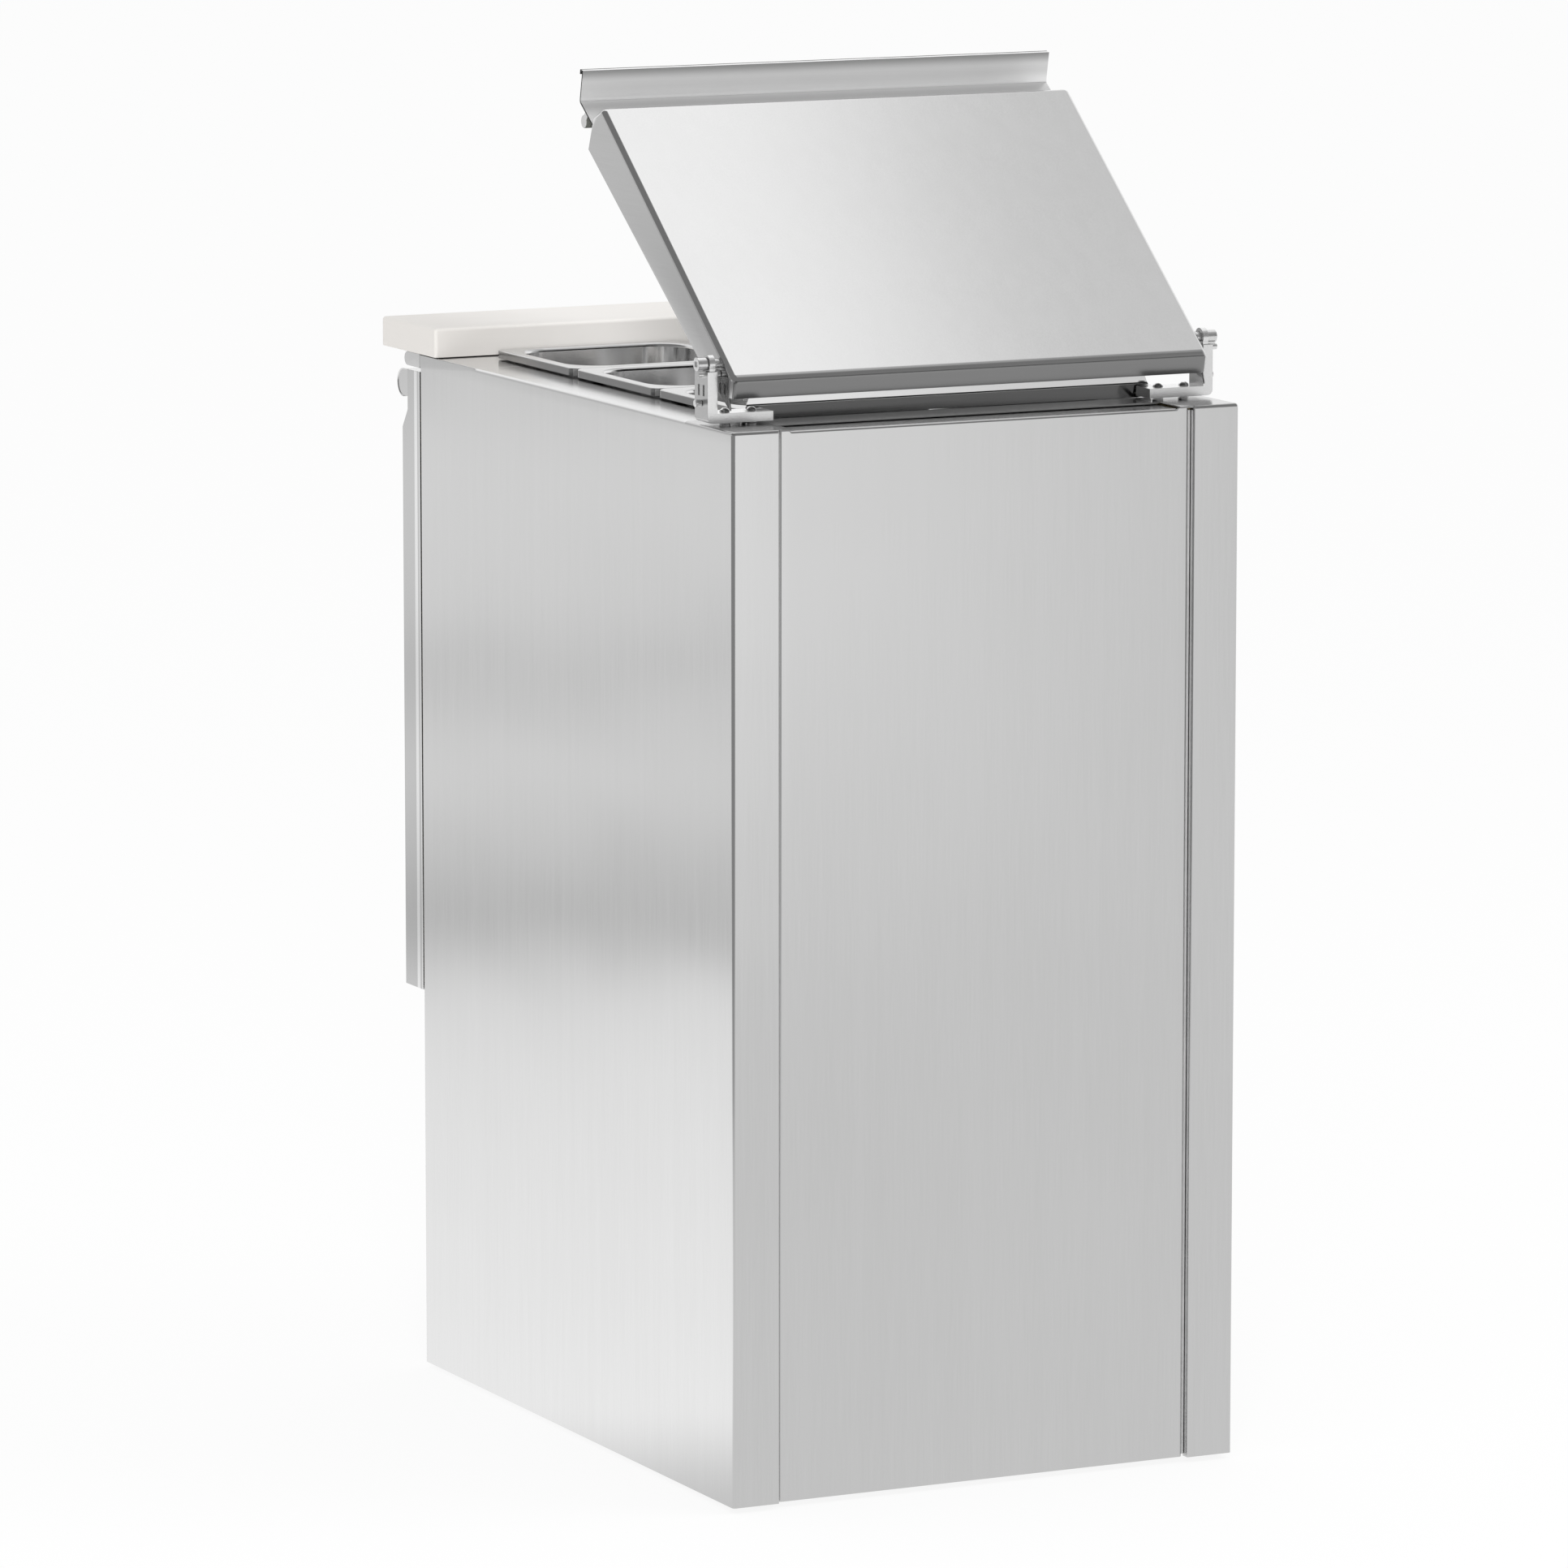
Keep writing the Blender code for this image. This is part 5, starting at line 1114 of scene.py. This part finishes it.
# %% Ease the lining and bumpers
softened("lid_liner", "lid", black_liner, 0.0003)
for hand in ("left", "right"):
    # The bumper ends take the painted highlight.
    paint_light_by_side(softened(f"lid_bumper_{hand}", "lid", rubber_grey, 0.0006), rubber_painted_highlight)

# %% [markdown]
# ## Hinge brackets
# Each bracket is a bent bar with a slotted leg, an eye for the pivot bolt and a foot held by two dome
# screws. The frame has all of these forms, so the copies only lose their hard edges. The flat sides of
# the bars are painted darker than their blasted edges, a painted shade.

# %% Ease the brackets
for hand in ("left", "right"):
    bracket = softened(f"hinge_bracket_{hand}", "cabinet", cast, 0.0007, degrees=ROUND_WALLS)
    # The faces that look to either side take the painted shade.
    paint_light_by_side(bracket, cast_painted_shade)
    softened(f"pivot_bolt_{hand}", "cabinet", bolt_steel, 0.0005, degrees=ROUND_WALLS)
    softened(f"stop_pin_{hand}", "cabinet", bolt_steel, 0.0006, degrees=ROUND_WALLS)

# %% [markdown]
# ## Edge of the door
# The door is a folded tray. From behind only its edge shows, with thin light lines where sheets are
# folded over each other. The folds are under a millimetre, so their highlights are painted into the
# finish: a light tone between two depths, measured from the back of the door. The edge is also painted
# darker than the shell, a painted shade.

# %% Finish the edge of the door
FOLD_HIGHLIGHT_TONE = 0.97
door_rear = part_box("door_shell")[1].y
# The door's edge is painted darker than the shell, a painted shade.
door_edge_painted_light = make_steel(SATIN, "door_edge_painted_light", 0.66, 0.15, UPRIGHT, wave=WAVE)
door_depth = door_edge_painted_light.axis("Y") - door_rear


def painted_fold_highlight(low, high, blur=0.0004):
    """A painted highlight line on the door's edge between two depths."""
    start = door_edge_painted_light.smooth(door_depth, low - blur, low + blur)
    return start * (1.0 - door_edge_painted_light.smooth(door_depth, high - blur, high + blur))


# Two painted highlights where the sheets fold over each other.
door_edge_painted_light.shade(painted_fold_highlight(-0.0118, -0.0058) + painted_fold_highlight(-0.0018, 0.0010), grey(FOLD_HIGHLIGHT_TONE))
print("door edge has two light lines")

# %% [markdown]
# ## Door
# Round its foam core the door has a shell, an inner panel and a black gasket, and a rolled grip runs
# along its top. All of it is finished, because the door opens.

# %% Ease the door
shell = softened("door_shell", "door", brushed_upright, 0.0005, degrees=ROUND_WALLS)
# The shell's side faces take the painted edge shade and highlights.
paint_light_by_side(shell, door_edge_painted_light, 0.9)
softened("door_foam", "door", foam, 0.0004, 1, ROUND_WALLS)
softened("door_inner_panel", "door", brushed_upright, 0.0004)
softened("door_gasket", "door", rubber_black, 0.0008)
softened("door_grip", "door", bright_rail, 0.0004, degrees=ROUND_WALLS)

# %% [markdown]
# ## Ends of the grip
# The grip is rolled from sheet, and a thin plate closes each end almost flush, so that only a fine dark
# outline shows. The plate is half round: a vertex is spun through half a turn, the outline is closed
# at the back, and the face is extruded.

# %% Close the grip
GRIP_SHEET = 0.0012
GRIP_DEPTH = 0.0006
PLATE = 0.001
grip_low, grip_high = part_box("door_grip")
grip_radius = (grip_high.z - grip_low.z) / 2
axis_y = grip_low.y + grip_radius
axis_z = grip_low.z + grip_radius
inner = grip_radius - GRIP_SHEET


def close_grip(name, x, thickness):
    """A plate that closes the rolled grip a little way in from its end."""
    bm = bmesh.new()
    top = bm.verts.new((x, axis_y, axis_z + inner))
    bmesh.ops.spin(bm, geom=[top], cent=(x, axis_y, axis_z), axis=(1, 0, 0), angle=math.pi, steps=12)
    rim = sorted(bm.verts, key=lambda vert: -vert.co.z)
    back_top = bm.verts.new((x, grip_high.y, axis_z + inner))
    back_low = bm.verts.new((x, grip_high.y, axis_z - inner))
    bm.faces.new([back_top] + rim + [back_low])
    grown = bmesh.ops.extrude_face_region(bm, geom=list(bm.faces))["geom"]
    moved = [item for item in grown if isinstance(item, bmesh.types.BMVert)]
    bmesh.ops.translate(bm, verts=moved, vec=(thickness, 0, 0))
    bmesh.ops.recalc_face_normals(bm, faces=bm.faces)
    return piece(bm, name, "door", brushed_upright, [])


close_grip("grip_end_left", grip_low.x + GRIP_DEPTH, PLATE)
close_grip("grip_end_right", grip_high.x - GRIP_DEPTH, -PLATE)

# %% [markdown]
# ## Inside and underneath
# The door's hinges, the chamber, the machine and the feet hardly show from behind, but the door opens
# and the pans lift out. They keep the frame's forms with eased edges and finishes of their own.

# %% Ease the inner pieces
INNER_ANGLE = 35.0
for level in ("lower", "upper"):
    softened(f"door_hinge_{level}", "cabinet", bolt_steel, 0.0005, degrees=ROUND_WALLS)
inner_pieces = {
    "inner_liner": (brushed_upright, 0.0004), "foam_insulation": (foam, 0.0005),
    "chamber_sill": (brushed_across, 0.0005), "base_plate": (zinc, 0.0005),
    "machine_ceiling": (zinc, 0.0005), "shelf_rail_left": (brushed_deep, 0.0008),
    "shelf_rail_right": (brushed_deep, 0.0008), "evaporator_coil": (aluminium, 0.0002),
    "condenser_coil": (coil_dark, 0.0002), "fan_motor": (motor_grey, 0.0010),
    "compressor": (compressor_black, 0.0020), "discharge_pipe": (copper, 0.0004),
    "suction_pipe": (copper, 0.0004), "drip_tray": (black_moulded, 0.0006),
    "machine_grille": (brushed_across, 0.0004), "control_panel": (black_moulded, 0.0006),
}
for corner_name in ("rear_left", "rear_right", "front_left", "front_right"):
    inner_pieces["foot_" + corner_name] = (rubber_black, 0.0010)
for name, (finish, radius) in inner_pieces.items():
    softened(name, "cabinet", finish, radius, degrees=INNER_ANGLE)
softened("wire_shelf", "wire_shelf", polished, 0.0012)
turning_pieces = {"condenser_fan": (black_moulded, 0.0006), "thermostat_knob": (black_moulded, 0.0010),
                  "power_switch": (switch_green, 0.0010)}
for name, (finish, radius) in turning_pieces.items():
    softened(name, name, finish, radius, degrees=ROUND_WALLS)
